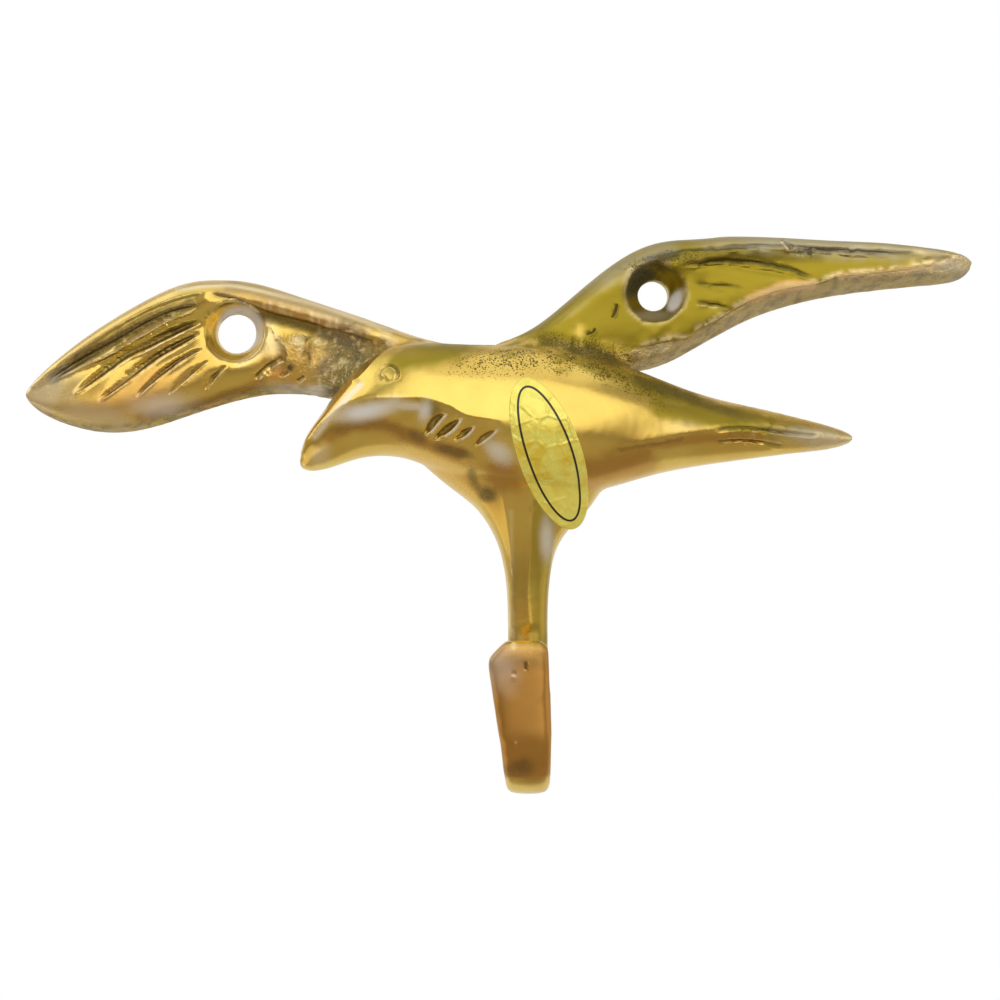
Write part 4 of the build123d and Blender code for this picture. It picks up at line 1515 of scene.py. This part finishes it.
    def _age_walls(self, skin: Skin, coat: Coat, noise: LatticeNoise, direction: np.ndarray) -> None:
        """Paints the wings' undersides and the right wing's heel, which no file has reached.

        Args:
            skin: The casting's worked surface.
            coat: The masks.
            noise: Noise of the ageing.
            direction: Outward directions of the surface.
        """
        grit = ramp(noise.at(skin.points, 0.8), *self.GRIT)
        heel = ramp(RIGHT_HEEL.measure(skin.flat)[0], 0.0, 0.5) * HEEL_FACE.share(skin)
        wall = np.maximum(ramp(-direction[:, 2], 0.45, 0.8) * UNDERSIDES.share(skin), heel)
        coat.thin(Mask.OLIVE, heel)
        for mask, share in self.WALL_PAINT.items():
            coat.add(mask, share * wall)
        coat.add(Mask.TARNISH_AND_SHADE, (0.15 + 0.35 * grit) * wall)
        coat.add(Mask.HAZE_AND_REFLECTION, 0.22 * heel)


@dataclass
class FoilLabel:
    """The small oval foil label on the bird's flank."""

    node: str = "oval_label"
    slot: str = "label_foil"
    centre: Point = (3.0, -5.2)
    length: float = 24.4
    width: float = 9.6
    tilt_deg: float = 20.3
    thickness: float = 0.2
    ring_inset: float = 1.5
    crinkle: float = 0.1
    crinkle_size: float = 2.4
    crinkle_seed: int = 37
    rings: int = 32
    spokes: int = 120
    rim_share: float = 0.995
    rear_share: float = 0.8
    sight_from: float = 60.0
    nearest_from: float = 15.0

    def build(self, frame: dict) -> bpy.types.Object:
        """Makes the label's visible piece.

        Args:
            frame: The loaded frame.

        Returns:
            The piece, riding on the frame in the node's place.
        """
        source = frame["nodes"][self.node]
        tree = BVHTree.FromPolygons(
            [v.co for v in source.data.vertices], [p.vertices for p in source.data.polygons]
        )
        piece = self._sheet(self._front_points(tree))
        ring = (self.width / 2 - self.ring_inset, self.length / 2 - self.ring_inset)
        piece.data.materials.append(FoilFinish(self.centre, ring, self.tilt_deg).material())
        piece.data.shade_smooth()
        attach(piece, "root")
        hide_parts(self.node)
        return piece

    def _front_points(self, tree: BVHTree) -> np.ndarray:
        """Points of the label's front, ring by ring, on the node's own surface.

        Args:
            tree: The node's faces, for finding where a line of sight meets them.

        Returns:
            Points in millimetres.
        """
        tilt = math.radians(self.tilt_deg)
        half = np.array([self.width / 2, self.length / 2])
        points = []
        for ring in range(self.rings + 1):
            share = ring / self.rings * self.rim_share
            for spoke in range(self.spokes):
                turn = 2 * math.pi * spoke / self.spokes
                u, v = share * half * (math.cos(turn), math.sin(turn))
                x = self.centre[0] + u * math.cos(tilt) - v * math.sin(tilt)
                z = self.centre[1] + u * math.sin(tilt) + v * math.cos(tilt)
                hit = tree.ray_cast(Vector((x, -self.sight_from, z)) * MM, Vector((0.0, 1.0, 0.0)))[0]
                if hit is None:
                    hit = tree.find_nearest(Vector((x, -self.nearest_from, z)) * MM)[0]
                points.append(tuple(hit / MM))
        return np.array(points)

    def _sheet(self, front: np.ndarray) -> bpy.types.Object:
        """Closed thin sheet through the front points.

        Args:
            front: Points of the front, ring by ring.

        Returns:
            A mesh object.
        """
        noise = LatticeNoise(self.crinkle_seed)
        lift = self.crinkle * (0.5 + 0.5 * noise.at(front, self.crinkle_size))
        face = front - np.array([0.0, 1.0, 0.0]) * lift[:, None]
        rear = front + np.array([0.0, self.thickness * self.rear_share, 0.0])
        count = len(front)
        faces = []
        for ring in range(self.rings):
            for spoke in range(self.spokes):
                after = (spoke + 1) % self.spokes
                a, b = ring * self.spokes + spoke, ring * self.spokes + after
                c, d = b + self.spokes, a + self.spokes
                faces += [(d, c, b, a), (a + count, b + count, c + count, d + count)]
        edge = self.rings * self.spokes
        for spoke in range(self.spokes):
            a, b = edge + spoke, edge + (spoke + 1) % self.spokes
            faces.append((a, a + count, b + count, b))
        mesh = bpy.data.meshes.new("foil_label")
        mesh.from_pydata([tuple(p * MM) for p in np.vstack([face, rear])], [], faces)
        work = bmesh.new()
        work.from_mesh(mesh)
        bmesh.ops.remove_doubles(work, verts=work.verts, dist=WELD)
        bmesh.ops.recalc_face_normals(work, faces=work.faces[:])
        work.to_mesh(mesh)
        work.free()
        piece = bpy.data.objects.new("foil_label", mesh)
        bpy.context.scene.collection.objects.link(piece)
        return piece


@dataclass(frozen=True)
class SoftBox:
    """A large soft lamp that faces the bird."""

    name: str
    place: Place
    size: Span
    level: float
    tint: Colour = (1.0, 1.0, 1.0)
    roll_deg: float = 0.0

    def build(self) -> bpy.types.Object:
        """Adds the lamp, in metres, at a level where 1 looks white in a mirror."""
        lamp = bpy.data.lights.new(self.name, "AREA")
        lamp.shape = "RECTANGLE"
        lamp.size, lamp.size_y = self.size
        lamp.energy = self.level * math.pi * self.size[0] * self.size[1]
        lamp.color = self.tint
        made = bpy.data.objects.new(self.name, lamp)
        made.location = self.place
        aim = (-Vector(self.place)).to_track_quat("-Z", "Y")
        made.rotation_euler = (aim @ Quaternion((0.0, 0.0, 1.0), math.radians(self.roll_deg))).to_euler()
        bpy.context.scene.collection.objects.link(made)
        return made


@dataclass
class Studio:
    """Floor, white sweep, soft lamps and the camera."""

    floor_drop: float = 0.42
    floor_front: float = -1.6
    sweep_start: float = 0.12
    sweep_radius: float = 0.45
    sweep_steps: int = 24
    sweep_height: float = 1.4
    half_width: float = 1.8
    camera_place: Place = (-0.004516, -0.24, -0.0121)
    lens: float = 53.57
    sensor: float = 36.0
    clip_start: float = 0.005
    room: dict[float, Colour] = field(
        default_factory=lambda: {
            0.0: (0.30, 0.225, 0.15),
            0.42: (0.42, 0.34, 0.25),
            0.55: (0.44, 0.40, 0.33),
            1.0: (0.36, 0.36, 0.34),
        }
    )
    boxes: tuple[SoftBox, ...] = (
        SoftBox("top_front_box", (0.102, -0.724, 0.325), (1.08, 1.08), 1.05, roll_deg=-20.0),
        SoftBox("overhead_box", (0.0, -0.02, 0.75), (0.9, 0.75), 0.6),
        SoftBox("left_box", (-0.75, 0.05, 0.52), (0.8, 0.8), 0.95),
        SoftBox("low_left_box", (-0.40, -0.05, -0.30), (0.40, 0.30), 0.45, (1.0, 0.85, 0.70)),
        SoftBox("right_box", (0.70, -0.10, -0.02), (0.75, 0.6), 0.4, (1.0, 0.97, 0.88)),
    )

    def build(self) -> None:
        """Sets up everything around the part."""
        self._stage()
        self._world()
        for box in self.boxes:
            box.build()
        self._camera()
        bpy.context.scene.view_settings.view_transform = "Standard"

    def _stage(self) -> None:
        """Lays the pale floor and hangs the white sweep."""
        floor = [(self.floor_front, -self.floor_drop), (self.sweep_start, -self.floor_drop)]
        curve = []
        for i in range(self.sweep_steps + 1):
            turn = math.pi / 2 * i / self.sweep_steps
            y = self.sweep_start + self.sweep_radius * math.sin(turn)
            curve.append((y, -self.floor_drop + self.sweep_radius * (1 - math.cos(turn))))
        curve.append((curve[-1][0], self.sweep_height))
        self._strip("floor", floor, PaperFinish().material())
        self._strip("sweep", curve, WhiteFinish().material())

    def _strip(self, name: str, line: list[Point], finish: bpy.types.Material) -> bpy.types.Object:
        """A sheet along a line in the YZ plane.

        Args:
            name: The sheet's name.
            line: Points (y, z) in metres.
            finish: Its material.

        Returns:
            A mesh object.
        """
        points = [(side * self.half_width, y, z) for y, z in line for side in (-1, 1)]
        faces = [(2 * i, 2 * i + 1, 2 * i + 3, 2 * i + 2) for i in range(len(line) - 1)]
        mesh = bpy.data.meshes.new(name)
        mesh.from_pydata(points, [], faces)
        mesh.materials.append(finish)
        mesh.shade_smooth()
        made = bpy.data.objects.new(name, mesh)
        bpy.context.scene.collection.objects.link(made)
        return made

    def _world(self) -> None:
        """Soft room light by height, warmer from below."""
        world = bpy.data.worlds.new("studio_room")
        bpy.context.scene.world = world
        world.use_nodes = True
        g = Graph(world.node_tree)
        where = g.node("ShaderNodeTexCoord").outputs["Generated"]
        height = g.node("ShaderNodeSeparateXYZ", {0: where}).outputs["Z"]
        colour = g.ladder(g.spread(height, -1.0, 1.0, 0.0, 1.0), self.room)
        back = g.node("ShaderNodeBackground", {"Color": colour, "Strength": 1.0})
        g.node("ShaderNodeOutputWorld", {"Surface": back.outputs[0]})

    def _camera(self) -> None:
        """Puts the camera square to the wall, where the photograph was taken from."""
        data = bpy.data.cameras.new("front_camera")
        data.lens = self.lens
        data.sensor_width = self.sensor
        data.clip_start = self.clip_start
        camera = bpy.data.objects.new("front_camera", data)
        camera.location = self.camera_place
        camera.rotation_euler = (math.pi / 2, 0.0, 0.0)
        bpy.context.scene.collection.objects.link(camera)
        bpy.context.scene.camera = camera


def triangles(piece: bpy.types.Object) -> int:
    """Number of triangles of a piece."""
    return sum(len(p.vertices) - 2 for p in piece.data.polygons)


def main() -> None:
    """Builds the pieces in order, notes each piece's triangles, and sets up the studio."""
    logging.basicConfig(level=logging.INFO, format="%(name)s: %(message)s")
    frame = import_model()
    for maker in (CastBird(), FoilLabel()):
        piece = maker.build(frame)
        LOG.info("%s: %d triangles", piece.name, triangles(piece))
    Studio().build()


if __name__ == "__main__":
    main()
